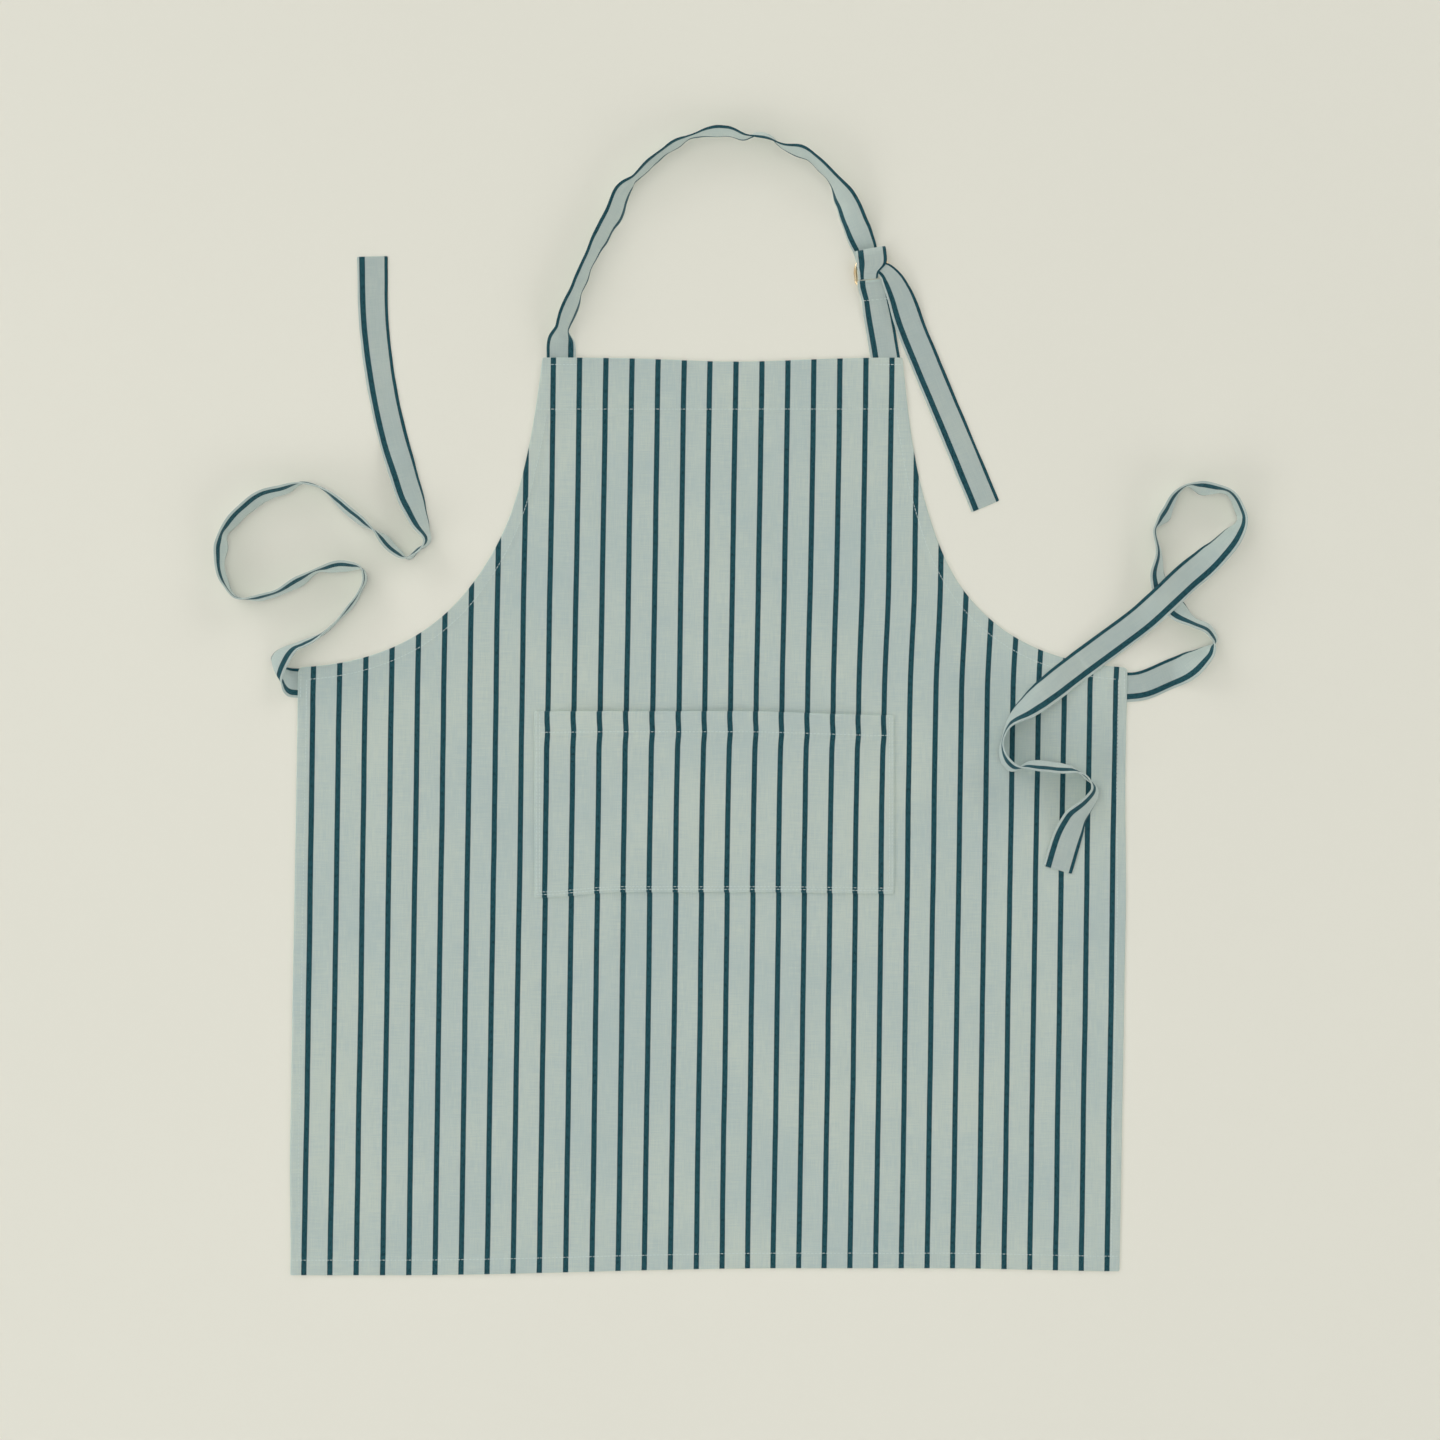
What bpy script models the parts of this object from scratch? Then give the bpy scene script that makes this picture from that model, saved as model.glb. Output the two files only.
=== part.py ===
"""Striped cotton butcher apron, laid out flat with its front up.

Metres, +Z up, +Y towards the neck. The origin is on the surface the apron lies on, under the middle
of the cloth. Every strap is a ribbon that follows a hand-set route: it lies flat in places and
stands on its edge in others. The neck strap is threaded through one brass D-ring.
"""

import math

import bmesh
import bpy
import numpy as np
from mathutils import Vector
from mathutils.geometry import interpolate_bezier

# Body panel: bib and skirt in one piece
BODY_WIDTH = 0.711
BIB_WIDTH = 0.307
BOTTOM_Y = -0.436
SIDE_TOP_Y = 0.082
BIB_TOP_Y = 0.347
ARMHOLE_HANDLES = ((0.013, 0.115), (0.031, 0.257))
ARMHOLE_POINTS = 20
SKEW = 0.0175
SKEW_MIDDLE_Y = -0.1785
HEM_THICKNESS = 0.0024
CLOTH_THICKNESS = 0.0006
SIDE_HEM = 0.010
BOTTOM_HEM = 0.013
BIB_HEM = 0.044
GAP = 0.0003

# Patch pocket
POCKET_WIDTH = 0.307
POCKET_TOP_Y = 0.0455
POCKET_DEPTH = 0.156
POCKET_X = 0.0047
POCKET_THICKNESS = 0.0012
POCKET_HOLLOW = 0.0006
POCKET_SEAM = 0.008

# Straps
STRAP_WIDTH = 0.0252
STRAP_THICKNESS = 0.0012
STRAP_STEP = 0.007
NOTCH_SIDE_GAP = 0.0006
TIE_NOTCH_HALF = 0.0205

# D-ring, in its own plane: U along the straight bar, V away from it
RING_WIRE_RADIUS = 0.0014
RING_HALF_WIDTH = 0.0143
RING_HEIGHT = 0.0242
RING_CORNER = 0.004
RING_X = 0.1400
RING_Y = 0.4100
RING_BAR_Z = 0.0032
RING_TURN = math.radians(5.6)
RING_TILT = math.radians(5.9)

# Sewing thread
THREAD_RADIUS = 0.00025
SIDE_ROW = 0.0075
ARMHOLE_ROW = 0.010
MOUTH_ROW = 0.017
POCKET_OUTER_ROW = 0.002
POCKET_INNER_ROW = 0.0043
STRAP_END_ROW = 0.006
TIE_END_ROW = 0.0025
LOOP_ROW = 0.0140
LOOP_ROW_SIDE_GAP = 0.0025
ROW_GAP = 0.001

CUT_CLEAR = 0.02

# A route point is (x, y, height of the ribbon's lower side, lean in degrees, facing, width share).
# Lean 0 or 180 is flat and 90 stands on edge. Facing is the plan direction, in degrees, in which
# the crest edge lies from the foot edge; None takes it square to the route.


def at_ring(u, v, rest, lean, facing, width):
    """A route point given in the D-ring's plan: u along its bar and v away from it."""
    x = RING_X + u * math.cos(RING_TURN) - v * math.sin(RING_TURN)
    y = RING_Y + u * math.sin(RING_TURN) + v * math.cos(RING_TURN)
    return (x, y, rest, lean, facing, width)


NECK_ROUTE = [
    (-0.1260, 0.3109, 0.0003, 0, None, 1),
    (-0.1260, 0.3484, 0.0003, 0, None, 1),
    (-0.1258, 0.3596, 0.0003, 19, None, 1),
    (-0.1249, 0.3712, 0.0, 65, None, 1),
    (-0.1200, 0.3843, 0.0, 63, None, 1),
    (-0.1126, 0.4038, 0.0, 70, None, 1),
    (-0.0975, 0.4382, 0.0, 64, None, 1),
    (-0.0799, 0.4710, 0.0, 54, None, 1),
    (-0.0698, 0.4919, 0.0, 72, None, 1),
    (-0.0634, 0.4978, 0.0, 86, None, 1),
    (-0.0407, 0.5189, 0.0, 86, None, 1),
    (-0.0166, 0.5325, 0.0, 88, None, 1),
    (0.0162, 0.5380, 0.0, 82, None, 1),
    (0.0302, 0.5330, 0.0, 92, None, 1),
    (0.0475, 0.5329, 0.0, 108, None, 1),
    (0.0625, 0.5248, 0.0, 90, None, 1),
    (0.0786, 0.5215, 0.0, 80, None, 1),
    (0.0997, 0.5047, 0.0, 86, None, 1),
    (0.1111, 0.4893, 0.0, 67, None, 1),
    (0.1189, 0.4747, 0.0, 40, 22, 1),
    (0.1262, 0.4560, 0.0, 30, 20, 1),
    at_ring(-0.0064, 0.0375, 0.0003, 14, 18, 0.9),
    at_ring(-0.0045, 0.0315, 0.0003, 0, 12, 0.85),
    at_ring(-0.0038, 0.0120, 0.0003, 0, 5.6, 0.66),
    at_ring(-0.0038, 0.0085, 0.0003, 0, 5.6, 0.66),
    at_ring(-0.0038, 0.0045, 0.00465, 0, 5.6, 0.66),
    at_ring(-0.0034, 0.0085, 0.0090, 0, 5.6, 0.70),
    at_ring(-0.0010, 0.0145, 0.0090, 0, 6.5, 0.96),
    at_ring(0.0002, 0.0240, 0.0090, 0, 9, 1.05),
    at_ring(0.0002, 0.0290, 0.0054, 0, 10, 1.05),
    at_ring(-0.0006, 0.0240, 0.0018, 0, 10, 0.85),
    at_ring(0.0, 0.0185, 0.0018, 0, 24, 0.62),
    at_ring(0.0020, 0.0130, 0.0045, 0, 48, 0.48),
    at_ring(0.0070, 0.0118, 0.0074, 0, 57, 0.46),
    at_ring(0.0100, 0.0096, 0.0079, 0, 59, 0.54),
    (0.1545, 0.4144, 0.0076, 0, 38, 0.70),
    (0.1616, 0.4015, 0.0056, 0, 27, 0.88),
    (0.1702, 0.3778, 0.0021, 0, 23, 1),
    (0.1864, 0.3385, 0.0008, 0, 22.6, 1),
    (0.2360, 0.2199, 0.0, 0, 22.6, 1.03),
]
RING_STRAP_ROUTE = [
    (0.1545, 0.3109, 0.0003, 0, 9, 1),
    (0.1503, 0.3476, 0.0003, 0, 9, 1),
    (0.1462, 0.3720, 0.0003, 0, 9, 1),
    at_ring(0.0011, -0.0220, 0.0020, 0, 7, 0.98),
    at_ring(0.0005, -0.0140, 0.0022, 0, 5.6, 0.95),
    at_ring(0.0002, -0.0070, 0.0040, 0, 5.6, 0.93),
    at_ring(0.0, -0.0028, 0.0049, 0, 5.6, 0.93),
    at_ring(0.0, 0.0006, 0.0049, 0, 5.6, 0.93),
    at_ring(0.0, 0.0029, 0.0026, 0, 5.6, 0.93),
    at_ring(0.0, 0.0006, 0.0003, 0, 5.6, 0.93),
    at_ring(0.0, -0.0040, 0.0003, 0, 5.6, 0.93),
    at_ring(0.0004, -0.0120, 0.0003, 0, 5.6, 0.93),
    at_ring(0.0008, -0.0190, 0.0003, 0, 5.6, 0.93),
]
LEFT_TIE_ROUTE = [
    (-0.3364, 0.0692, 0.0003, 0, -90, 1),
    (-0.3520, 0.0692, 0.0003, 0, -90, 1),
    (-0.3580, 0.0700, 0.0003, 8, -90, 1),
    (-0.3625, 0.0726, 0.0003, 26, -84, 1),
    (-0.3664, 0.0789, 0.0, 45, -64, 1),
    (-0.3664, 0.0847, 0.0, 49, -39, 1),
    (-0.3629, 0.0918, 0.0, 48, -16, 1),
    (-0.3563, 0.0975, 0.0, 53, -10, 1),
    (-0.3462, 0.1015, 0.0, 68, -20, 1),
    (-0.3289, 0.1100, 0.0, 84, -48, 1),
    (-0.3068, 0.1310, 0.0, 88, None, 1),
    (-0.2971, 0.1448, 0.0, 84, None, 1),
    (-0.2923, 0.1592, 0.0, 88, None, 1),
    (-0.2946, 0.1667, 0.0, 86, None, 1),
    (-0.3097, 0.1686, 0.0, 71, None, 1),
    (-0.3343, 0.1639, 0.0, 86, None, 1),
    (-0.3543, 0.1525, 0.0, 81, None, 1),
    (-0.3698, 0.1450, 0.0, 86, None, 1),
    (-0.3882, 0.1406, 0.0, 88, None, 1),
    (-0.4000, 0.1412, 0.0, 92, None, 1),
    (-0.4108, 0.1532, 0.0, 97, None, 1),
    (-0.4153, 0.1835, 0.0, 105, None, 1),
    (-0.4132, 0.1953, 0.0, 98, None, 1),
    (-0.4068, 0.2051, 0.0, 105, None, 1),
    (-0.3786, 0.2285, 0.0, 112, None, 1),
    (-0.3593, 0.2349, 0.0, 103, None, 1),
    (-0.3461, 0.2389, 0.0, 93, None, 1),
    (-0.3304, 0.2351, 0.0, 92, None, 1),
    (-0.3051, 0.2158, 0.0, 106, None, 1),
    (-0.2841, 0.1986, 0.0, 90, None, 1),
    (-0.2672, 0.1812, 0.0, 78, None, 1),
    (-0.2566, 0.1750, 0.0, 88, None, 1),
    (-0.2474, 0.1814, 0.0, 80, None, 1),
    (-0.2399, 0.1894, 0.0, 100, None, 1),
    (-0.2443, 0.2023, 0.0, 115, None, 1),
    (-0.2541, 0.2268, 0.0, 150, None, 1),
    (-0.2614, 0.2508, 0.0, 157, None, 1),
    (-0.2714, 0.2853, 0.0, 180, None, 1),
    (-0.2858, 0.3737, 0.0, 180, None, 1.02),
    (-0.2873, 0.4335, 0.0, 180, None, 1.06),
]
RIGHT_TIE_ROUTE = [
    (0.3410, 0.0657, 0.0003, 180, None, 1),
    (0.3540, 0.0657, 0.0003, 180, None, 1),
    (0.3670, 0.0667, 0.0003, 180, None, 1),
    (0.3918, 0.0762, 0.0, 180, None, 1),
    (0.4065, 0.0830, 0.0, 160, None, 1),
    (0.4172, 0.0903, 0.0, 134, None, 1),
    (0.4247, 0.0971, 0.0, 112, None, 1),
    (0.4283, 0.1040, 0.0, 80, None, 1),
    (0.4241, 0.1141, 0.0, 66, None, 1),
    (0.4117, 0.1206, 0.0, 60, None, 1),
    (0.3965, 0.1324, 0.0, 40, None, 1),
    (0.3860, 0.1478, 0.0, 38, None, 1),
    (0.3813, 0.1587, 0.0, 52, None, 1),
    (0.3818, 0.1771, 0.0, 71, None, 1),
    (0.3783, 0.2009, 0.0, 88, None, 1),
    (0.3872, 0.2118, 0.0, 64, None, 1),
    (0.3965, 0.2313, 0.0, 86, None, 1),
    (0.4083, 0.2377, 0.0, 86, None, 1),
    (0.4197, 0.2359, 0.0, 76, None, 1),
    (0.4426, 0.2302, 0.0, 87, None, 1),
    (0.4494, 0.2208, 0.0, 84, None, 1),
    (0.4532, 0.2081, 0.0, 80, None, 1),
    (0.4472, 0.1968, 0.0020, 60, None, 1),
    (0.4324, 0.1816, 0.0080, 35, None, 1),
    (0.4048, 0.1581, 0.0170, 0, None, 1),
    (0.3878, 0.1423, 0.0185, 0, None, 1),
    (0.3684, 0.1239, 0.0100, 0, None, 1),
    (0.3412, 0.1030, 0.0050, 0, None, 1),
    (0.3159, 0.0842, 0.0036, 0, None, 1),
    (0.2745, 0.0508, 0.0036, 40, None, 1),
    (0.2522, 0.0297, 0.0036, 84, None, 1),
    (0.2487, 0.0167, 0.0036, 88, None, 1),
    (0.2576, -0.0015, 0.0036, 86, None, 1),
    (0.2724, -0.0010, 0.0036, 102, None, 1),
    (0.2907, -0.0021, 0.0036, 107, None, 1),
    (0.3200, -0.0108, 0.0036, 92, None, 1),
    (0.3263, -0.0197, 0.0036, 104, None, 1),
    (0.3110, -0.0469, 0.0036, 151, None, 1),
    (0.3025, -0.0718, 0.0036, 180, None, 1),
    (0.2972, -0.0901, 0.0036, 180, None, 1),
]


def clear_scene():
    for obj in list(bpy.data.objects):
        bpy.data.objects.remove(obj)


def new_collection(name):
    collection = bpy.data.collections.new(name)
    bpy.context.scene.collection.children.link(collection)
    return collection


def new_material(name, color, roughness, metallic=0.0):
    material = bpy.data.materials.new(name)
    material.use_nodes = True
    shader = material.node_tree.nodes["Principled BSDF"]
    shader.inputs["Base Color"].default_value = (*color, 1.0)
    shader.inputs["Roughness"].default_value = roughness
    shader.inputs["Metallic"].default_value = metallic
    return material


def add_part(name, data, material):
    obj = bpy.data.objects.new(name, data)
    obj.data.materials.clear()
    obj.data.materials.append(material)
    APRON.objects.link(obj)
    return obj


# Outlines


def skewed(x, y):
    """The cloth lies a little out of square: each level line is shifted sideways."""
    return (x + SKEW * (y - SKEW_MIDDLE_Y), y)


def armhole(inset):
    """Points of the right armhole's edge from the bib down, moved into the cloth by inset."""
    corner = Vector((BIB_WIDTH / 2, BIB_TOP_Y))
    side = Vector((BODY_WIDTH / 2, SIDE_TOP_Y))
    upper, lower = (corner + Vector((out, -down)) for out, down in ARMHOLE_HANDLES)
    curve = interpolate_bezier(corner, upper, lower, side, ARMHOLE_POINTS)
    edge = []
    for index, point in enumerate(curve):
        before = curve[max(index - 1, 0)]
        after = curve[min(index + 1, len(curve) - 1)]
        along = (after - before).normalized()
        edge.append(point + inset * Vector((along.y, -along.x)))
    return edge


def armhole_between(inset, top, right):
    """The stretch of armhole(inset) below the level top and left of the line x = right."""
    return [point for point in armhole(inset) if point.y < top and point.x < right]


def panel_outline(inset, bottom, top):
    """The panel's outline, set in by inset at the sides and armholes, between two levels."""
    half = BODY_WIDTH / 2 - inset
    curve = armhole_between(inset, top - ROW_GAP, half - ROW_GAP)
    right = [(curve[0].x, top)]
    right += [(point.x, point.y) for point in curve]
    right += [(half, curve[-1].y), (half, bottom)]
    left = [(-x, y) for x, y in reversed(right)]
    return [skewed(x, y) for x, y in right + left]


def pocket_outline(inset, top):
    half = POCKET_WIDTH / 2 - inset
    bottom = POCKET_TOP_Y - POCKET_DEPTH + inset
    corners = ((-half, bottom), (half, bottom), (half, top), (-half, top))
    return [(x + POCKET_X, y) for x, y in corners]


def box_outline(center, half_width, half_depth):
    x, y = center
    signs = ((-1, -1), (1, -1), (1, 1), (-1, 1))
    return [(x + i * half_width, y + j * half_depth) for i, j in signs]


# Solids


def flat_mesh(name, outline, low, high):
    """A closed plate with this outline between two heights."""
    curve = bpy.data.curves.new(name, "CURVE")
    curve.dimensions = "2D"
    curve.fill_mode = "BOTH"
    curve.extrude = (high - low) / 2
    spline = curve.splines.new("POLY")
    spline.points.add(len(outline) - 1)
    for point, (x, y) in zip(spline.points, outline):
        point.co = (x, y, 0, 1)
    spline.use_cyclic_u = True
    guide = bpy.data.objects.new(name + "_outline", curve)
    guide.location.z = (high + low) / 2
    bpy.context.scene.collection.objects.link(guide)
    bpy.context.view_layer.update()
    evaluated = guide.evaluated_get(bpy.context.evaluated_depsgraph_get())
    mesh = bpy.data.meshes.new_from_object(evaluated)
    mesh.transform(guide.matrix_world)
    welded = bmesh.new()
    welded.from_mesh(mesh)
    bmesh.ops.remove_doubles(welded, verts=welded.verts, dist=1e-6)
    bmesh.ops.recalc_face_normals(welded, faces=welded.faces)
    welded.to_mesh(mesh)
    welded.free()
    bpy.data.objects.remove(guide)
    return mesh


def cut(part, name, outline, low, high):
    """Cuts a plate-shaped hollow from the part."""
    cutter = bpy.data.objects.new(name, flat_mesh(name, outline, low, high))
    CUTTERS.objects.link(cutter)
    cutter.hide_render = True
    cutter.display_type = "WIRE"
    boolean = part.modifiers.new(name, "BOOLEAN")
    boolean.operation = "DIFFERENCE"
    boolean.solver = "EXACT"
    boolean.object = cutter


def wire(name, points, radius, material, closed=False):
    """A round wire or thread through the points."""
    curve = bpy.data.curves.new(name, "CURVE")
    curve.dimensions = "3D"
    curve.bevel_depth = radius
    curve.bevel_resolution = 2
    curve.use_fill_caps = True
    spline = curve.splines.new("POLY")
    spline.points.add(len(points) - 1)
    for point, place in zip(spline.points, points):
        point.co = (*place, 1)
    spline.use_cyclic_u = closed
    return add_part(name, curve, material)


def slopes_at(knots, values):
    """Slopes at the knots. Height, lean, facing and width never swing past their knots."""
    slopes = np.gradient(values, knots, axis=0)
    rates = np.diff(values, axis=0) / np.diff(knots)[:, None]
    before, after = rates[:-1], rates[1:]
    limit = 3 * np.minimum(np.abs(before), np.abs(after)) * (before * after > 0)
    slopes[1:-1, 2:] = np.clip(slopes[1:-1], -limit, limit)[:, 2:]
    return slopes


def through(knots, values, at):
    """Values on one smooth curve through the knots."""
    slopes = slopes_at(knots, values)
    span = np.clip(np.searchsorted(knots, at, side="right") - 1, 0, len(knots) - 2)
    length = (knots[span + 1] - knots[span])[:, None]
    share = (at - knots[span])[:, None] / length
    rest = 1 - share
    start = values[span] * (1 + 2 * share) * rest**2 + slopes[span] * length * share * rest**2
    end = values[span + 1] * (3 - 2 * share) * share**2 - slopes[span + 1] * length * share**2 * rest
    return start + end


def ribbon_edges(route, crest_side):
    """Foot and crest edge points along a route; crest_side is 1 for its left and -1 for its right."""
    points = np.array([point[:3] for point in route])
    lean = np.radians([point[3] for point in route])
    ahead = np.gradient(points, axis=0)
    square = np.arctan2(ahead[:, 1], ahead[:, 0]) + crest_side * math.pi / 2
    given = [point[4] for point in route]
    facing = [angle if turn is None else math.radians(turn) for turn, angle in zip(given, square)]
    width = [point[5] for point in route]
    values = np.column_stack([points, lean, np.unwrap(facing), width])
    steps = np.linalg.norm(np.diff(points, axis=0), axis=1)
    knots = np.concatenate([[0], np.cumsum(steps)])
    at = [knots[-1:]]
    for start, end in zip(knots, knots[1:]):
        count = max(2, math.ceil((end - start) / STRAP_STEP))
        at.insert(-1, np.linspace(start, end, count, endpoint=False))
    x, y, low, lean, facing, width = through(knots, values, np.concatenate(at)).T
    half = STRAP_WIDTH / 2 * width
    up = half * np.abs(np.sin(lean))
    middle = np.column_stack([x, y, low + STRAP_THICKNESS / 2 * np.abs(np.cos(lean)) + up])
    flat = half * np.cos(lean)
    across = np.column_stack([flat * np.cos(facing), flat * np.sin(facing), up])
    return middle - across, middle + across


def strap(name, route, crest_side, material):
    """A folded tape that follows its route."""
    edges = ribbon_edges(route, crest_side)
    rows = len(edges[0]) - 1
    grid = bmesh.new()
    bmesh.ops.create_grid(grid, x_segments=rows, y_segments=1, size=1)
    for vertex in grid.verts:
        row = round((vertex.co.x + 1) / 2 * rows)
        edge = edges[0] if vertex.co.y < 0 else edges[1]
        vertex.co = edge[row]
    mesh = bpy.data.meshes.new(name)
    grid.to_mesh(mesh)
    grid.free()
    obj = add_part(name, mesh, material)
    solidify = obj.modifiers.new("thickness", "SOLIDIFY")
    solidify.thickness = STRAP_THICKNESS
    solidify.offset = 0
    return obj


def thread(name, points, surface):
    """A row of stitches as one thread that lies just over a surface."""
    z = surface + GAP + THREAD_RADIUS
    wire(name, [(x, y, z) for x, y in points], THREAD_RADIUS, THREAD)


def panel_thread(name, points):
    """A row on the panel, given before the skew."""
    thread(name, [skewed(x, y) for x, y in points], HEM_THICKNESS)


# The apron's pieces


def make_panel():
    mesh = flat_mesh("body_panel", panel_outline(0, BOTTOM_Y, BIB_TOP_Y), 0, HEM_THICKNESS)
    panel = add_part("body_panel", mesh, CLOTH)
    field = panel_outline(SIDE_HEM, BOTTOM_Y + BOTTOM_HEM, BIB_TOP_Y - BIB_HEM)
    ceiling = HEM_THICKNESS - CLOTH_THICKNESS
    cut(panel, "field_cutter", field, -CUT_CLEAR, ceiling)
    notch = STRAP_WIDTH / 2 + NOTCH_SIDE_GAP
    deep = BIB_HEM / 2 + CUT_CLEAR
    level = BIB_TOP_Y + CUT_CLEAR - BIB_HEM / 2
    for name, route in (("neck", NECK_ROUTE), ("ring_strap", RING_STRAP_ROUTE)):
        center = ((route[0][0] + route[1][0]) / 2, level)
        lean_room = abs(route[0][0] - route[1][0]) / 2 + NOTCH_SIDE_GAP
        outline = box_outline(center, notch + lean_room, deep)
        cut(panel, name + "_notch", outline, -CUT_CLEAR, ceiling)
    for name, route in (("left_tie", LEFT_TIE_ROUTE), ("right_tie", RIGHT_TIE_ROUTE)):
        outline = box_outline(route[1][:2], TIE_NOTCH_HALF, notch)
        cut(panel, name + "_notch", outline, -CUT_CLEAR, ceiling)


def make_pocket():
    low = HEM_THICKNESS + GAP
    high = low + POCKET_THICKNESS
    mesh = flat_mesh("pocket", pocket_outline(0, POCKET_TOP_Y), low, high)
    pocket = add_part("pocket", mesh, CLOTH)
    inside = pocket_outline(POCKET_SEAM, POCKET_TOP_Y + CUT_CLEAR)
    cut(pocket, "pocket_cutter", inside, low - CUT_CLEAR, low + POCKET_HOLLOW)


def ring_wire_points():
    """The D's centre line in its own plane, from the bar's right end round to its left end."""
    corner_steps = 4
    arc_steps = 18
    reach = RING_HALF_WIDTH - RING_CORNER
    corner = []
    for step in range(corner_steps + 1):
        turn = math.pi / 2 * (step / corner_steps - 1)
        corner.append((reach + RING_CORNER * math.cos(turn), RING_CORNER * (1 + math.sin(turn))))
    arc = []
    for step in range(arc_steps + 1):
        turn = math.pi * step / arc_steps
        v = RING_HEIGHT - RING_HALF_WIDTH * (1 - math.sin(turn))
        arc.append((RING_HALF_WIDTH * math.cos(turn), v))
    return corner + arc + [(-u, v) for u, v in reversed(corner)]


def make_ring():
    """The D-ring turns about its straight bar, which is where its origin lies."""
    points = [(u, v, 0) for u, v in ring_wire_points()]
    ring = wire("d_ring", points, RING_WIRE_RADIUS, BRASS, closed=True)
    ring.data.bevel_resolution = 3
    ring.rotation_euler = (RING_TILT, 0, RING_TURN)
    ring.location = (RING_X, RING_Y, RING_BAR_Z)


def make_panel_threads():
    bib_row = BIB_TOP_Y - BIB_HEM
    half = armhole_between(ARMHOLE_ROW, bib_row - 2 * ROW_GAP, BODY_WIDTH / 2)[0].x
    panel_thread("bib_hem_thread", [(-half, bib_row), (half, bib_row)])
    bottom_row = BOTTOM_Y + BOTTOM_HEM
    end = BODY_WIDTH / 2 - 2 * ROW_GAP
    panel_thread("bottom_hem_thread", [(-end, bottom_row), (end, bottom_row)])
    side_x = BODY_WIDTH / 2 - SIDE_ROW
    curve = armhole_between(ARMHOLE_ROW, bib_row - 2 * ROW_GAP, side_x)
    low = bottom_row + ROW_GAP
    high = curve[-1].y - 2 * ROW_GAP
    for name, sign in (("left", -1), ("right", 1)):
        panel_thread(name + "_armhole_thread", [(sign * point.x, point.y) for point in curve])
        panel_thread(name + "_side_hem_thread", [(sign * side_x, low), (sign * side_x, high)])


def make_pocket_threads():
    surface = HEM_THICKNESS + GAP + POCKET_THICKNESS
    for name, inset in (("outer", POCKET_OUTER_ROW), ("inner", POCKET_INNER_ROW)):
        row = pocket_outline(inset, POCKET_TOP_Y - ROW_GAP)
        row = [row[3], row[0], row[1], row[2]]
        thread("pocket_" + name + "_thread", row, surface)
    half = POCKET_WIDTH / 2 - POCKET_INNER_ROW - ROW_GAP
    level = POCKET_TOP_Y - MOUTH_ROW
    row = [(POCKET_X - half, level), (POCKET_X + half, level)]
    thread("pocket_mouth_thread", row, surface)


def make_strap_end_threads():
    half = STRAP_WIDTH / 2 - ROW_GAP
    level = BIB_TOP_Y - STRAP_END_ROW
    for name, route in (("neck_strap", NECK_ROUTE), ("ring_strap", RING_STRAP_ROUTE)):
        x = route[1][0]
        thread(name + "_end_thread", [(x - half, level), (x + half, level)], HEM_THICKNESS)
    for name, sign, route in (("left_tie", -1, LEFT_TIE_ROUTE), ("right_tie", 1, RIGHT_TIE_ROUTE)):
        x = sign * (BODY_WIDTH / 2 - TIE_END_ROW)
        y = min(route[1][1], SIDE_TOP_Y - SIDE_HEM - half)
        panel_thread(name + "_end_thread", [(x, y - half), (x, y + half)])


def make_loop_thread():
    """The row that closes the short strap's loop under the ring."""
    half = STRAP_WIDTH / 2 - LOOP_ROW_SIDE_GAP
    ends = [at_ring(u, -LOOP_ROW, 0, 0, 0, 1)[:2] for u in (-half, half)]
    thread("ring_loop_thread", ends, RING_STRAP_ROUTE[4][2] + STRAP_THICKNESS + GAP)


clear_scene()
APRON = new_collection("butcher_apron")
CUTTERS = new_collection("cutters")
CLOTH = new_material("striped_cotton", (0.41, 0.50, 0.47), 0.85)
TAPE = new_material("cotton_tape", (0.36, 0.46, 0.44), 0.85)
THREAD = new_material("sewing_thread", (0.60, 0.68, 0.64), 0.7)
BRASS = new_material("brass", (0.72, 0.52, 0.26), 0.3, 1.0)
make_panel()
make_pocket()
make_ring()
strap("neck_strap", NECK_ROUTE, 1, TAPE)
strap("ring_strap", RING_STRAP_ROUTE, 1, TAPE)
strap("left_tie", LEFT_TIE_ROUTE, -1, TAPE)
strap("right_tie", RIGHT_TIE_ROUTE, 1, TAPE)
make_panel_threads()
make_pocket_threads()
make_strap_end_threads()
make_loop_thread()
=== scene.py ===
"""Striped cotton butcher apron, laid flat: hemmed cloth, patch pocket, four tapes and a D-ring."""

import math

import bmesh
import bpy
import numpy as np
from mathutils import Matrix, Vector, noise
from mathutils.geometry import interpolate_bezier


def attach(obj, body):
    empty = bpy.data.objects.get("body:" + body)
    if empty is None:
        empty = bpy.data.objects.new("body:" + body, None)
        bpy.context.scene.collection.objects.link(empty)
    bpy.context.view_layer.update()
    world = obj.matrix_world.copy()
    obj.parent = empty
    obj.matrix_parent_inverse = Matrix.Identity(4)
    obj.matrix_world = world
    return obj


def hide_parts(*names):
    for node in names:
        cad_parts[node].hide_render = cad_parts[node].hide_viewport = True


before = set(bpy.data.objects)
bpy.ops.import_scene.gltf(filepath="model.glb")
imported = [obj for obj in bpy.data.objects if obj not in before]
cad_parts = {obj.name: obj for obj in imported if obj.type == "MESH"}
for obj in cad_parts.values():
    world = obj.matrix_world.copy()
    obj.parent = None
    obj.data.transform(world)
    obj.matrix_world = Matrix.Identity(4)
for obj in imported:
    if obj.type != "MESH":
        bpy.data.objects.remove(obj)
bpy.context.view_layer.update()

# Sizes in metres, the same as the CAD's
BODY_WIDTH = 0.711
BIB_WIDTH = 0.307
BOTTOM_Y = -0.436
SIDE_TOP_Y = 0.082
SIDE_CORNER = 0.003
BIB_TOP_Y = 0.347
ARMHOLE_HANDLES = ((0.013, 0.115), (0.031, 0.257))
SKEW = 0.0175
SKEW_MIDDLE_Y = -0.1785
SIDE_HEM = 0.010
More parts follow.
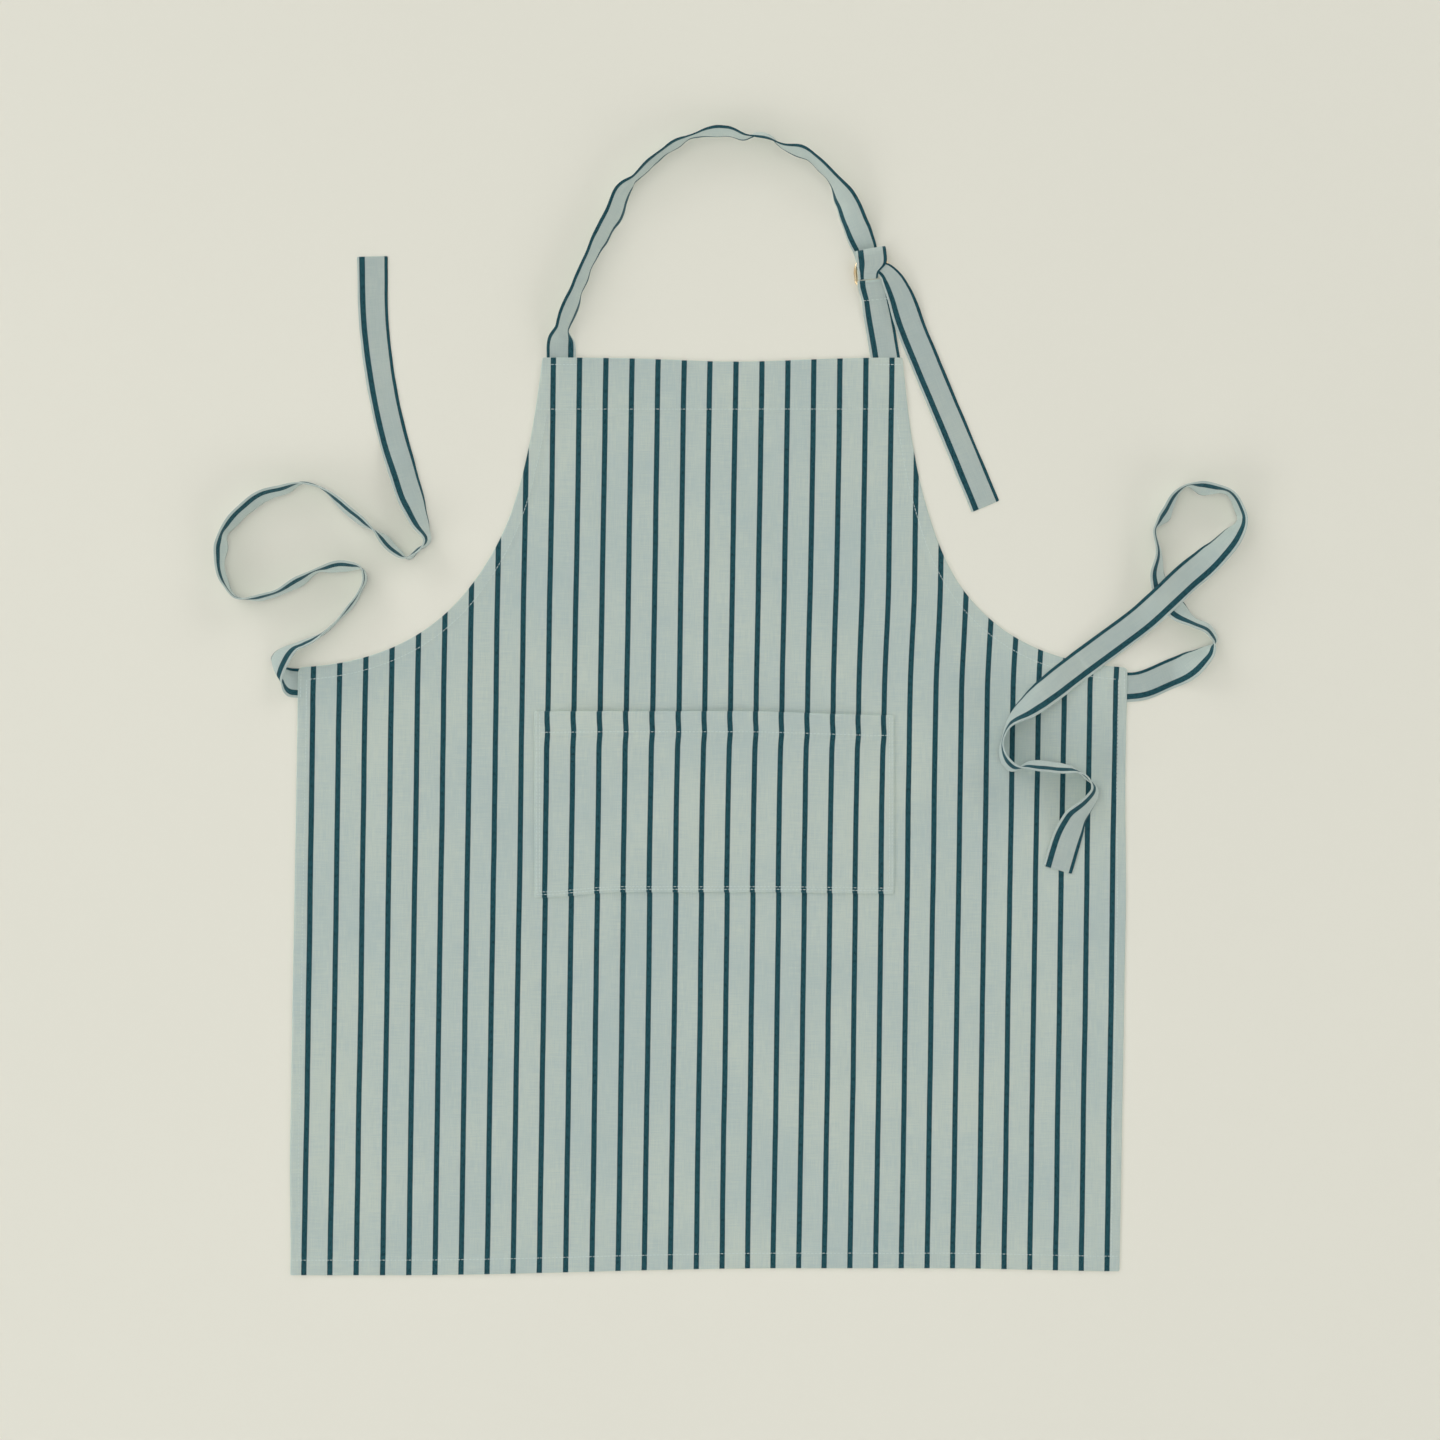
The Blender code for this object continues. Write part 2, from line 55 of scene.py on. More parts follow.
SIDE_ROW = 0.0075
BOTTOM_HEM = 0.013
BIB_HEM = 0.044
POCKET_WIDTH = 0.307
POCKET_TOP_Y = 0.0455
POCKET_DEPTH = 0.156
POCKET_X = 0.0047
POCKET_SEAM = 0.010
POCKET_HEM = 0.020
MOUTH_ROW = 0.017
STRAP_WIDTH = 0.0252
RING_X = 0.1400
RING_Y = 0.4100
RING_BAR_Z = 0.0032
RING_TURN = math.radians(5.6)
RING_TILT = math.radians(5.9)
RING_WIRE_RADIUS = 0.0014
RING_HALF_WIDTH = 0.0143
RING_HEIGHT = 0.0242
RING_CORNER = 0.004

# Cloth
CLOTH = 0.0005
FOLD_RADIUS = 0.0005
EDGE = FOLD_RADIUS + CLOTH / 2
FIELD_Z = 0.0004
HEM_Z = 0.0014
OVER_TAPE_Z = 0.0026
STRIPE_PITCH = 0.0219
STRIPE_HALF = 0.00225
STRIPE_LEAN = 0.0153
STRIPE_AT_BOTTOM = -0.0111
HEM_BLEND = 0.004
ROW_WIDTH = 0.0013
LEAST_Z = CLOTH / 2 + 0.00005

# Camera: straight down
CAMERA_X = 0.0094
CAMERA_Y = 0.0378
CAMERA_HEIGHT = 2.5
VIEW_WIDTH = 1.2293
SENSOR = 36.0


# Routes of the tapes. Each point is x, y, the height that the tape rests at, its lean in degrees
# (0 flat, 90 on edge), the way it faces in degrees (None: square to the route) and its width share


def at_ring(u, v, rest, lean, facing, width):
    """A route point given in the D-ring's plan: u along its bar and v away from it."""
    x = RING_X + u * math.cos(RING_TURN) - v * math.sin(RING_TURN)
    y = RING_Y + u * math.sin(RING_TURN) + v * math.cos(RING_TURN)
    return (x, y, rest, lean, facing, width)


NECK_ROUTE = [
    (-0.1260, 0.3109, 0.0003, 0, None, 1),
    (-0.1260, 0.3484, 0.0003, 0, None, 1),
    (-0.1258, 0.3596, 0.0003, 19, None, 1),
    (-0.1249, 0.3712, 0.0, 65, None, 1),
    (-0.1200, 0.3843, 0.0, 63, None, 1),
    (-0.1126, 0.4038, 0.0, 70, None, 1),
    (-0.0975, 0.4382, 0.0, 64, None, 1),
    (-0.0799, 0.4710, 0.0, 54, None, 1),
    (-0.0698, 0.4919, 0.0, 72, None, 1),
    (-0.0634, 0.4978, 0.0, 86, None, 1),
    (-0.0407, 0.5189, 0.0, 86, None, 1),
    (-0.0166, 0.5325, 0.0, 88, None, 1),
    (0.0162, 0.5380, 0.0, 82, None, 1),
    (0.0302, 0.5330, 0.0, 92, None, 1),
    (0.0475, 0.5329, 0.0, 108, None, 1),
    (0.0625, 0.5248, 0.0, 90, None, 1),
    (0.0786, 0.5215, 0.0, 80, None, 1),
    (0.0997, 0.5047, 0.0, 86, None, 1),
    (0.1111, 0.4893, 0.0, 67, None, 1),
    (0.1189, 0.4747, 0.0, 40, 22, 1),
    (0.1262, 0.4560, 0.0, 30, 20, 1),
    at_ring(-0.0064, 0.0375, 0.0003, 14, 18, 0.9),
    at_ring(-0.0045, 0.0315, 0.0003, 0, 12, 0.85),
    at_ring(-0.0038, 0.0120, 0.0003, 0, 5.6, 0.66),
    at_ring(-0.0038, 0.0085, 0.0003, 0, 5.6, 0.66),
    at_ring(-0.0038, 0.0040, 0.00465, 0, 5.6, 0.66),
    at_ring(-0.0034, 0.0085, 0.0090, 0, 5.6, 0.70),
    at_ring(-0.0004, 0.0145, 0.0090, 0, 6.5, 1.0),
    at_ring(0.0002, 0.0240, 0.0090, 0, 9, 1.05),
    at_ring(0.0002, 0.0290, 0.0054, 0, 10, 1.05),
    at_ring(-0.0006, 0.0240, 0.0018, 0, 10, 0.85),
    at_ring(0.0, 0.0185, 0.0018, 0, 24, 0.62),
    at_ring(0.0020, 0.0130, 0.0045, 0, 48, 0.48),
    at_ring(0.0070, 0.0118, 0.0074, 0, 57, 0.46),
    at_ring(0.0100, 0.0096, 0.0079, 0, 59, 0.54),
    (0.1545, 0.4144, 0.0076, 0, 38, 0.70),
    (0.1616, 0.4015, 0.0056, 0, 27, 0.88),
    (0.1702, 0.3778, 0.0021, 0, 23, 1),
    (0.1864, 0.3385, 0.0008, 0, 22.6, 1),
    (0.2360, 0.2199, 0.0, 0, 22.6, 1.03),
]
RING_STRAP_ROUTE = [
    (0.1545, 0.3109, 0.0003, 0, 9, 1),
    (0.1503, 0.3476, 0.0003, 0, 9, 1),
    (0.1462, 0.3720, 0.0003, 0, 9, 1),
    at_ring(0.0011, -0.0220, 0.0020, 0, 7, 0.98),
    at_ring(0.0005, -0.0140, 0.0022, 0, 5.6, 0.95),
    at_ring(-0.0004, -0.0070, 0.0040, 0, 5.6, 1.0),
    at_ring(-0.0008, -0.0028, 0.0049, 0, 5.6, 1.03),
    at_ring(-0.0008, 0.0006, 0.0049, 0, 5.6, 1.03),
    at_ring(-0.0006, 0.0031, 0.0026, 0, 5.6, 1.0),
    at_ring(0.0, 0.0006, 0.0003, 0, 5.6, 0.93),
    at_ring(0.0, -0.0040, 0.0003, 0, 5.6, 0.93),
    at_ring(0.0004, -0.0120, 0.0003, 0, 5.6, 0.93),
    at_ring(0.0008, -0.0190, 0.0003, 0, 5.6, 0.93),
]
LEFT_TIE_ROUTE = [
    (-0.3364, 0.0692, 0.0003, 0, -90, 1),
    (-0.3520, 0.0692, 0.0003, 0, -90, 1),
    (-0.3580, 0.0700, 0.0003, 8, -90, 1),
    (-0.3625, 0.0726, 0.0003, 26, -84, 1),
    (-0.3664, 0.0789, 0.0, 45, -64, 1),
    (-0.3664, 0.0847, 0.0, 49, -39, 1),
    (-0.3629, 0.0918, 0.0, 48, -16, 1),
    (-0.3563, 0.0975, 0.0, 53, -10, 1),
    (-0.3462, 0.1015, 0.0, 68, -20, 1),
    (-0.3289, 0.1100, 0.0, 84, -48, 1),
    (-0.3068, 0.1310, 0.0, 88, None, 1),
    (-0.2971, 0.1448, 0.0, 84, None, 1),
    (-0.2923, 0.1592, 0.0, 88, None, 1),
    (-0.2946, 0.1667, 0.0, 86, None, 1),
    (-0.3097, 0.1686, 0.0, 71, None, 1),
    (-0.3343, 0.1639, 0.0, 86, None, 1),
    (-0.3543, 0.1525, 0.0, 81, None, 1),
    (-0.3698, 0.1450, 0.0, 86, None, 1),
    (-0.3882, 0.1406, 0.0, 88, None, 1),
    (-0.4000, 0.1412, 0.0, 92, None, 1),
    (-0.4108, 0.1532, 0.0, 97, None, 1),
    (-0.4153, 0.1835, 0.0, 105, None, 1),
    (-0.4132, 0.1953, 0.0, 98, None, 1),
    (-0.4068, 0.2051, 0.0, 105, None, 1),
    (-0.3786, 0.2285, 0.0, 112, None, 1),
    (-0.3593, 0.2349, 0.0, 103, None, 1),
    (-0.3461, 0.2389, 0.0, 93, None, 1),
    (-0.3304, 0.2351, 0.0, 92, None, 1),
    (-0.3051, 0.2158, 0.0, 106, None, 1),
    (-0.2841, 0.1986, 0.0, 90, None, 1),
    (-0.2672, 0.1812, 0.0, 78, None, 1),
    (-0.2566, 0.1750, 0.0, 88, None, 1),
    (-0.2474, 0.1814, 0.0, 80, None, 1),
    (-0.2399, 0.1894, 0.0, 100, None, 1),
    (-0.2443, 0.2023, 0.0, 115, None, 1),
    (-0.2541, 0.2268, 0.0, 150, None, 1),
    (-0.2614, 0.2508, 0.0, 157, None, 1),
    (-0.2714, 0.2853, 0.0, 180, None, 1),
    (-0.2858, 0.3737, 0.0, 180, None, 1.02),
    (-0.2873, 0.4335, 0.0, 180, None, 1.06),
]
RIGHT_TIE_ROUTE = [
    (0.3410, 0.0657, 0.0003, 180, None, 1),
    (0.3540, 0.0657, 0.0003, 180, None, 1),
    (0.3670, 0.0667, 0.0003, 180, None, 1),
    (0.3918, 0.0762, 0.0, 180, None, 1),
    (0.4065, 0.0830, 0.0, 160, None, 1),
    (0.4172, 0.0903, 0.0, 134, None, 1),
    (0.4247, 0.0971, 0.0, 112, None, 1),
    (0.4283, 0.1040, 0.0, 80, None, 1),
    (0.4241, 0.1141, 0.0, 66, None, 1),
    (0.4117, 0.1206, 0.0, 60, None, 1),
    (0.3965, 0.1324, 0.0, 40, None, 1),
    (0.3860, 0.1478, 0.0, 38, None, 1),
    (0.3813, 0.1587, 0.0, 52, None, 1),
    (0.3818, 0.1771, 0.0, 71, None, 1),
    (0.3783, 0.2009, 0.0, 88, None, 1),
    (0.3872, 0.2118, 0.0, 64, None, 1),
    (0.3965, 0.2313, 0.0, 86, None, 1),
    (0.4083, 0.2377, 0.0, 86, None, 1),
    (0.4197, 0.2359, 0.0, 76, None, 1),
    (0.4426, 0.2302, 0.0, 87, None, 1),
    (0.4494, 0.2208, 0.0, 84, None, 1),
    (0.4532, 0.2081, 0.0, 80, None, 1),
    (0.4472, 0.1968, 0.0020, 60, None, 1),
    (0.4324, 0.1816, 0.0080, 35, None, 1),
    (0.4048, 0.1581, 0.0170, 0, None, 1),
    (0.3878, 0.1423, 0.0185, 0, None, 1),
    (0.3684, 0.1239, 0.0100, 0, None, 1),
    (0.3412, 0.1030, 0.0050, 0, None, 1),
    (0.3159, 0.0842, 0.0036, 0, None, 1),
    (0.2745, 0.0508, 0.0036, 40, None, 1),
    (0.2522, 0.0297, 0.0036, 84, None, 1),
    (0.2487, 0.0167, 0.0036, 88, None, 1),
    (0.2576, -0.0015, 0.0036, 86, None, 1),
    (0.2724, -0.0010, 0.0036, 102, None, 1),
    (0.2907, -0.0021, 0.0036, 107, None, 1),
    (0.3200, -0.0108, 0.0036, 92, None, 1),
    (0.3263, -0.0197, 0.0036, 104, None, 1),
    (0.3110, -0.0469, 0.0036, 151, None, 1),
    (0.3025, -0.0718, 0.0036, 180, None, 1),
    (0.2972, -0.0901, 0.0036, 180, None, 1),
]


# Outline and height of the cloth

BIB_PULL = 0.0024
LEFT_CORNER_PULL = 0.0022
RIGHT_SIDE_PULL = 0.0024
BIB_TOP_SAG = 0.0034
BOTTOM_RISE = 0.0060
BOTTOM_FALL = 0.0026
WAVES = ((0.0022, 7, 3.1), (0.0012, 19, 8.7))  # height, fineness, seed
EDGE_WAVES = 0.35
BODY_ROW_DIP = 0.0003
OVER_TAPE_BLEND = 0.010
STRAP_ENDS = (  # x, y and half sizes of the places where the cloth lies on a strap's end
    (-0.1260, 0.3300, 0.016, 0.022),
    (0.1524, 0.3300, 0.018, 0.022),
    (-0.3440, 0.0692, 0.012, 0.016),
    (0.3500, 0.0657, 0.012, 0.016),
)


def soft_step(value, low, high):
    """0 below low, 1 above high, and smooth between."""
    share = np.clip((value - low) / (high - low), 0, 1)
    return share * share * (3 - 2 * share)


def hill(value, middle, width):
    """1 at the middle, fading to 0 on both sides."""
    return np.exp(-(((value - middle) / width) ** 2))


def swell(points, scale, seed):
    """Smooth noise from 0 to 1."""
    found = [noise.noise(Vector((x * scale, y * scale, seed))) for x, y in points]
    return np.array(found) * 0.5 + 0.5


def distances(line):
    """Distance run along a line at each of its points."""
    steps = np.linalg.norm(np.diff(line, axis=0), axis=1)
    return np.concatenate([[0], np.cumsum(steps)])


def outward(curve, index):
    """Unit normal at a point of a curve, to the right of the way it runs."""
    before = curve[max(index - 1, 0)]
    after = curve[min(index + 1, len(curve) - 1)]
    length = math.hypot(after[0] - before[0], after[1] - before[1])
    return (after[1] - before[1]) / length, -(after[0] - before[0]) / length


def lie(x, y):
    """Where points of the cut cloth lie on the floor: out of square, its edges pulled a little."""
    right = soft_step(x, 0.15, 0.35)
    left = soft_step(-x, 0.15, 0.35)
    low = 1 - soft_step(y, BOTTOM_Y, BOTTOM_Y + 0.25)
    corner = 1 - soft_step(y, BOTTOM_Y, BOTTOM_Y + 0.12)
    lying = x + SKEW * (y - SKEW_MIDDLE_Y) + BIB_PULL * soft_step(y, 0.14, 0.22)
    lying = lying + left * (0.0006 + LEFT_CORNER_PULL * corner)
    lying = lying - right * (0.0008 + RIGHT_SIDE_PULL * soft_step(y, -0.13, 0.0))
    top = soft_step(y, BIB_TOP_Y - BIB_HEM, BIB_TOP_Y)
    sag = BIB_TOP_SAG * hill(x, 0.012, 0.07) * top
    middle = BOTTOM_RISE * soft_step(x, -0.27, 0.07)
    rise = (middle - BOTTOM_FALL * soft_step(x, 0.20, 0.36)) * low
    return lying, y + rise - sag


def flat_x(x, y):
    """The level position before the skew of a place on the floor."""
    return x - SKEW * (y - SKEW_MIDDLE_Y)


def armhole_curve(count):
    """Points of the right armhole, from the side up to the bib, before the skew."""
    corner = Vector((BIB_WIDTH / 2, BIB_TOP_Y))
    side = Vector((BODY_WIDTH / 2, SIDE_TOP_Y))
    upper, lower = (corner + Vector((out, -down)) for out, down in ARMHOLE_HANDLES)
    return [tuple(p) for p in reversed(interpolate_bezier(corner, upper, lower, side, count))]


def edge_distance(points):
    """Distance of each flat point (before the skew) from the nearest cut edge."""
    x = np.abs(points[:, 0])
    y = points[:, 1]
    curve = np.array(armhole_curve(60))
    start, end = curve[:-1], curve[1:]
    along = end - start
    folded = np.column_stack([x, y])
    rel = folded[:, None, :] - start[None]
    share = np.clip((rel * along).sum(-1) / (along**2).sum(-1), 0, 1)
    near = np.linalg.norm(rel - share[..., None] * along, axis=-1).min(1)
    side = np.where(y < SIDE_TOP_Y, BODY_WIDTH / 2 - x, 1)
    return np.minimum.reduce([near, np.abs(side), np.abs(y - BOTTOM_Y), np.abs(BIB_TOP_Y - y)])


def cloth_height(points):
    """Height of the body cloth's middle at flat points given before the skew."""
    points = np.asarray(points, float)
    inset = edge_distance(points)
    y = points[:, 1]
    bottom_row = BOTTOM_Y + BOTTOM_HEM
    bib_row = BIB_TOP_Y - BIB_HEM
    side = 1 - soft_step(inset, SIDE_HEM, SIDE_HEM + HEM_BLEND)
    bottom = 1 - soft_step(y, bottom_row, bottom_row + HEM_BLEND)
    bib = soft_step(y, bib_row - HEM_BLEND, bib_row)
    hem = np.maximum.reduce([side, bottom, bib])
    z = FIELD_Z + (HEM_Z - FIELD_Z) * hem
    waves = sum(height * swell(points, scale, seed) ** 2 for height, scale, seed in WAVES)
    z = z + waves * (EDGE_WAVES + (1 - EDGE_WAVES) * soft_step(inset, 0.0, 0.06))
    for row in (bottom_row, bib_row):
        z = z - BODY_ROW_DIP * hill(y, row, ROW_WIDTH)
    x, y = lie(points[:, 0], y)
    for cx, cy, rx, ry in STRAP_ENDS:
        away = np.maximum(np.abs(x - cx) - rx, 0) + np.maximum(np.abs(y - cy) - ry, 0)
        z = z + np.maximum(0, OVER_TAPE_Z - z) * (1 - soft_step(away, 0, OVER_TAPE_BLEND))
    return z


def lift_at(x, y):
    """Height of the body cloth's top at one place as it lies."""
    return float(cloth_height([(flat_x(x, y), y)])[0]) + CLOTH / 2


# Sheets with folded edges


def folded(beyond, radius):
    """How far out and down a point lies that is cut this far beyond a folded edge."""
    turn = np.clip(beyond / radius, 0, math.pi)
    out = radius * np.sin(turn) - np.maximum(beyond - math.pi * radius, 0)
    return out, radius * (1 - np.cos(turn))


def fold_steps(flap):
    """Distances beyond the edge at which the folded cloth has a row of points."""
    bend = [FOLD_RADIUS * math.pi * share for share in (0.25, 0.5, 0.75, 1)]
    return bend + [bend[-1] + flap * share for share in (0.35, 0.7, 1)]


def add_object(name, data):
    obj = bpy.data.objects.new(name, data)
    bpy.context.scene.collection.objects.link(obj)
    return obj


def stand_for(obj, body, node):
    """Parents a piece to its moving body and hides the CAD node that it replaces."""
    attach(obj, body)
    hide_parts(node)
    return obj


def finish_mesh(name, grid, thickness, material, node):
    """A piece of cloth of this thickness from a grid of its middle."""
    mesh = bpy.data.meshes.new(name)
    grid.to_mesh(mesh)
    grid.free()
    mesh.shade_smooth()
    mesh.materials.append(material)
    obj = add_object(name, mesh)
    solid = obj.modifiers.new("cloth", "SOLIDIFY")
    solid.thickness = thickness
    solid.offset = 0
    return stand_for(obj, "apron", node)


def sheet_mesh(rows, columns, place):
    """A grid. place(row, column) gives a vertex and its cut position, or None where cut out."""
    grid = bmesh.new()
    layer = grid.loops.layers.uv.new("cut")
    points = {}
    cuts = {}
    for i in range(rows):
        for j in range(columns):
            found = place(i, j)
            if found is not None:
                points[i, j] = grid.verts.new(found[0])
                cuts[i, j] = found[1]
    for i in range(rows - 1):
        for j in range(columns - 1):
            keys = ((i, j), (i, j + 1), (i + 1, j + 1), (i + 1, j))
            if all(key in points for key in keys):
                face = grid.faces.new([points[key] for key in keys])
                for loop, key in zip(face.loops, keys):
                    loop[layer].uv = cuts[key]
    return grid


def lay_sheet(name, rows, columns, keys, spots, cuts, material, node):
    """A sheet of cloth from the row and column, place and cut position of each of its points."""
    where = {key: index for index, key in enumerate(keys)}

    def place(i, j):
        index = where.get((i, j))
        return None if index is None else (tuple(spots[index]), cuts[index])

    grid = sheet_mesh(rows, columns, place)
    return finish_mesh(name, grid, CLOTH, material, node)


def spread(start, end, count, extra=()):
    """Even steps from start to end, with extra ones among them."""
    return sorted([*np.linspace(start, end, count), *extra])


def both_sides(level, steps):
    """The level, and others these steps above and below it."""
    return [level + sign * step for step in steps for sign in (-1, 1)] + [level]


CORNER_FLAP = 0.15
LEAST_ROW_STEP = 1e-5
BEND_STEPS = 4  # the rows of points in a fold's bend, before its flap


def body_rows():
    """(half width, level, outward normal, flap share) of each row of the body, bottom to top."""
    near = (0.0012, 0.0025, 0.0045)
    straight = spread(
        BOTTOM_Y + EDGE, SIDE_TOP_Y - SIDE_CORNER, 112, both_sides(BOTTOM_Y + BOTTOM_HEM, near)
    )
    rows = [(BODY_WIDTH / 2, y, (1, 0), 1) for y in straight]
    curve = [(x, min(y, BIB_TOP_Y - EDGE)) for x, y in armhole_curve(80)]
    xs, ys = zip(*curve)
    curve += [(float(np.interp(y, ys, xs)), y) for y in both_sides(BIB_TOP_Y - BIB_HEM, near)]
    curve = sorted(curve, key=lambda point: point[1])
    curve = [(x, y) for x, y in curve if y > SIDE_TOP_Y + 0.00005]
    for turn in (0, 30, 60, 80):
        across, up = math.cos(math.radians(turn)), math.sin(math.radians(turn))
        x = BODY_WIDTH / 2 - SIDE_CORNER * (1 - across)
        y = SIDE_TOP_Y - SIDE_CORNER * (1 - up)
        rows.append((x, y, (across, up), CORNER_FLAP))
    rows += [(x, y, outward(curve, index), 1) for index, (x, y) in enumerate(curve)]
    rows = sorted(((x - EDGE, *rest) for x, *rest in rows), key=lambda row: row[1])
    pairs = zip(rows, rows[1:])
    return rows[:1] + [row for last, row in pairs if row[1] - last[1] > LEAST_ROW_STEP]


def stripe_cut(x, y, shift=0.0):
    """Cut position in metres, with a stripe at each whole pitch plus a half."""
    across = x - STRIPE_AT_BOTTOM - STRIPE_LEAN * (y - BOTTOM_Y) + shift
    left = 0.018 * np.maximum(0, -0.02 - x)
    right = 0.0125 * np.maximum(0, x) * soft_step(y, 0.06, 0.16)
    return np.column_stack([across + left - right + STRIPE_PITCH / 2, y])


def make_body(material):
    """Bib and skirt in one sheet, with its edges turned under."""
    rows = body_rows()
    inner = [0.0, 0.0015, 0.004, 0.0065, 0.0075, 0.0085, 0.0105, 0.014]
    middle = np.linspace(0.0, 1.0, 150)[1:-1]
    steps = fold_steps(SIDE_HEM)
    low_steps = fold_steps(BOTTOM_HEM)
    high_steps = fold_steps(BIB_HEM)
    first = len(low_steps)
    last = first + len(rows) - 1
    flaps = len(steps)
    inside = 2 * len(inner) + len(middle)
    columns = 2 * flaps + inside
    row_count = first + len(rows) + len(high_steps)
    bend = steps[BEND_STEPS - 1]
    places = []
    keys = []

    def column_x(half, column):
        """Signed x across the row for a column inside the cloth."""
        if column < len(inner):
            return -half + inner[column]
        if column >= inside - len(inner):
            return half - inner[inside - 1 - column]
        return (half - inner[-1]) * (2 * middle[column - len(inner)] - 1)

    for i in range(row_count):
        half, y, normal, share = rows[min(max(i - first, 0), len(rows) - 1)]
        beyond_y = 0.0
        way = 0
        if i < first:
            beyond_y, way = low_steps[first - 1 - i], -1
        elif i > last:
            beyond_y, way = high_steps[i - last - 1], 1
        in_hem = y < BOTTOM_Y + BOTTOM_HEM + 0.001 or y > BIB_TOP_Y - BIB_HEM
        for j in range(columns):
            outside = flaps - j if j < flaps else j - (columns - flaps - 1)
            if outside > 0 and (way or (in_hem and outside > BEND_STEPS)):
                continue
            keys.append((i, j))
            if outside > 0:
                sign = -1 if j < flaps else 1
                beyond = min(steps[outside - 1], bend)
                beyond += (steps[outside - 1] - beyond) * share
                places.append((sign * half, y, sign * normal[0], normal[1], beyond, 0.0, 0))
            else:
                places.append((column_x(half, j - flaps), y, 0, 0, 0.0, beyond_y, way))
    flat_place_x, flat_place_y, normal_x, normal_y, beyond, beyond_y, way = np.array(places).T
    out, drop = folded(beyond, FOLD_RADIUS)
    out_y, drop_y = folded(beyond_y, FOLD_RADIUS)
    x = flat_place_x + normal_x * out
    y = flat_place_y + normal_y * out + way * out_y
    z = np.maximum(cloth_height(np.column_stack([x, y])) - drop - drop_y, LEAST_Z)
    edge_x, edge_y = lie(flat_place_x, flat_place_y)
    cuts = stripe_cut(edge_x + normal_x * beyond, edge_y + normal_y * beyond + way * beyond_y)
    spots = np.column_stack([*lie(x, y), z])
    return lay_sheet("apron_body", row_count, columns, keys, spots, cuts, material, "body_panel")


POCKET_LIFT = 0.0006
POCKET_HEM_LIFT = 0.0011
POCKET_WAVE = 0.0008
POCKET_ROW_DIP = 0.00025
MOUTH_LIFT = 0.0012
MOUTH_SWAY = 0.0010
MOUTH_SWAY_TURN = 52
MOUTH_ROW_PULL = 0.0007
POCKET_STRIPE_SHIFT = 0.0006


def pocket_lie(x, y):
    """Where points of the pocket lie on the floor. It is sewn on a little out of square."""
    share = (y - POCKET_TOP_Y + POCKET_DEPTH) / POCKET_DEPTH
    mouth = -0.0010 - 0.0034 * soft_step(x, 0.02, 0.15)
    low = -0.0026 + 0.0046 * soft_step(x, -0.15, -0.08) - 0.0012 * soft_step(x, 0.05, 0.15)
    return x + POCKET_X, y + share * mouth + (1 - share) * low


def pocket_height(points):
    """Height of the pocket cloth's middle: sewn down at three sides, loose at its mouth."""
    x, y = np.asarray(points, float).T
    side = POCKET_WIDTH / 2 - np.abs(x)
    down = POCKET_TOP_Y - y
    inset = np.maximum(np.minimum(side, POCKET_DEPTH - down), 0)
    seam = 1 - soft_step(inset, POCKET_SEAM - 0.001, POCKET_SEAM - 0.001 + HEM_BLEND)
    turned = 1 - soft_step(down, MOUTH_ROW + 0.001, MOUTH_ROW + 0.001 + HEM_BLEND)
    lying_x, lying_y = pocket_lie(x, y)
    body = cloth_height(np.column_stack([flat_x(lying_x, lying_y), lying_y]))
    z = body + POCKET_LIFT + POCKET_HEM_LIFT * np.maximum(seam, turned)
    loose = soft_step(inset, 0.004, 0.05)
    mouth = 1 - soft_step(down, 0.0, 0.07)
    sway = 0.5 + 0.5 * np.sin(x * MOUTH_SWAY_TURN + 0.8)
    belly = POCKET_WAVE * swell(points, 15, 4.4) + mouth * (MOUTH_LIFT + MOUTH_SWAY * sway)
    return z + loose * belly - POCKET_ROW_DIP * hill(down, MOUTH_ROW, ROW_WIDTH)


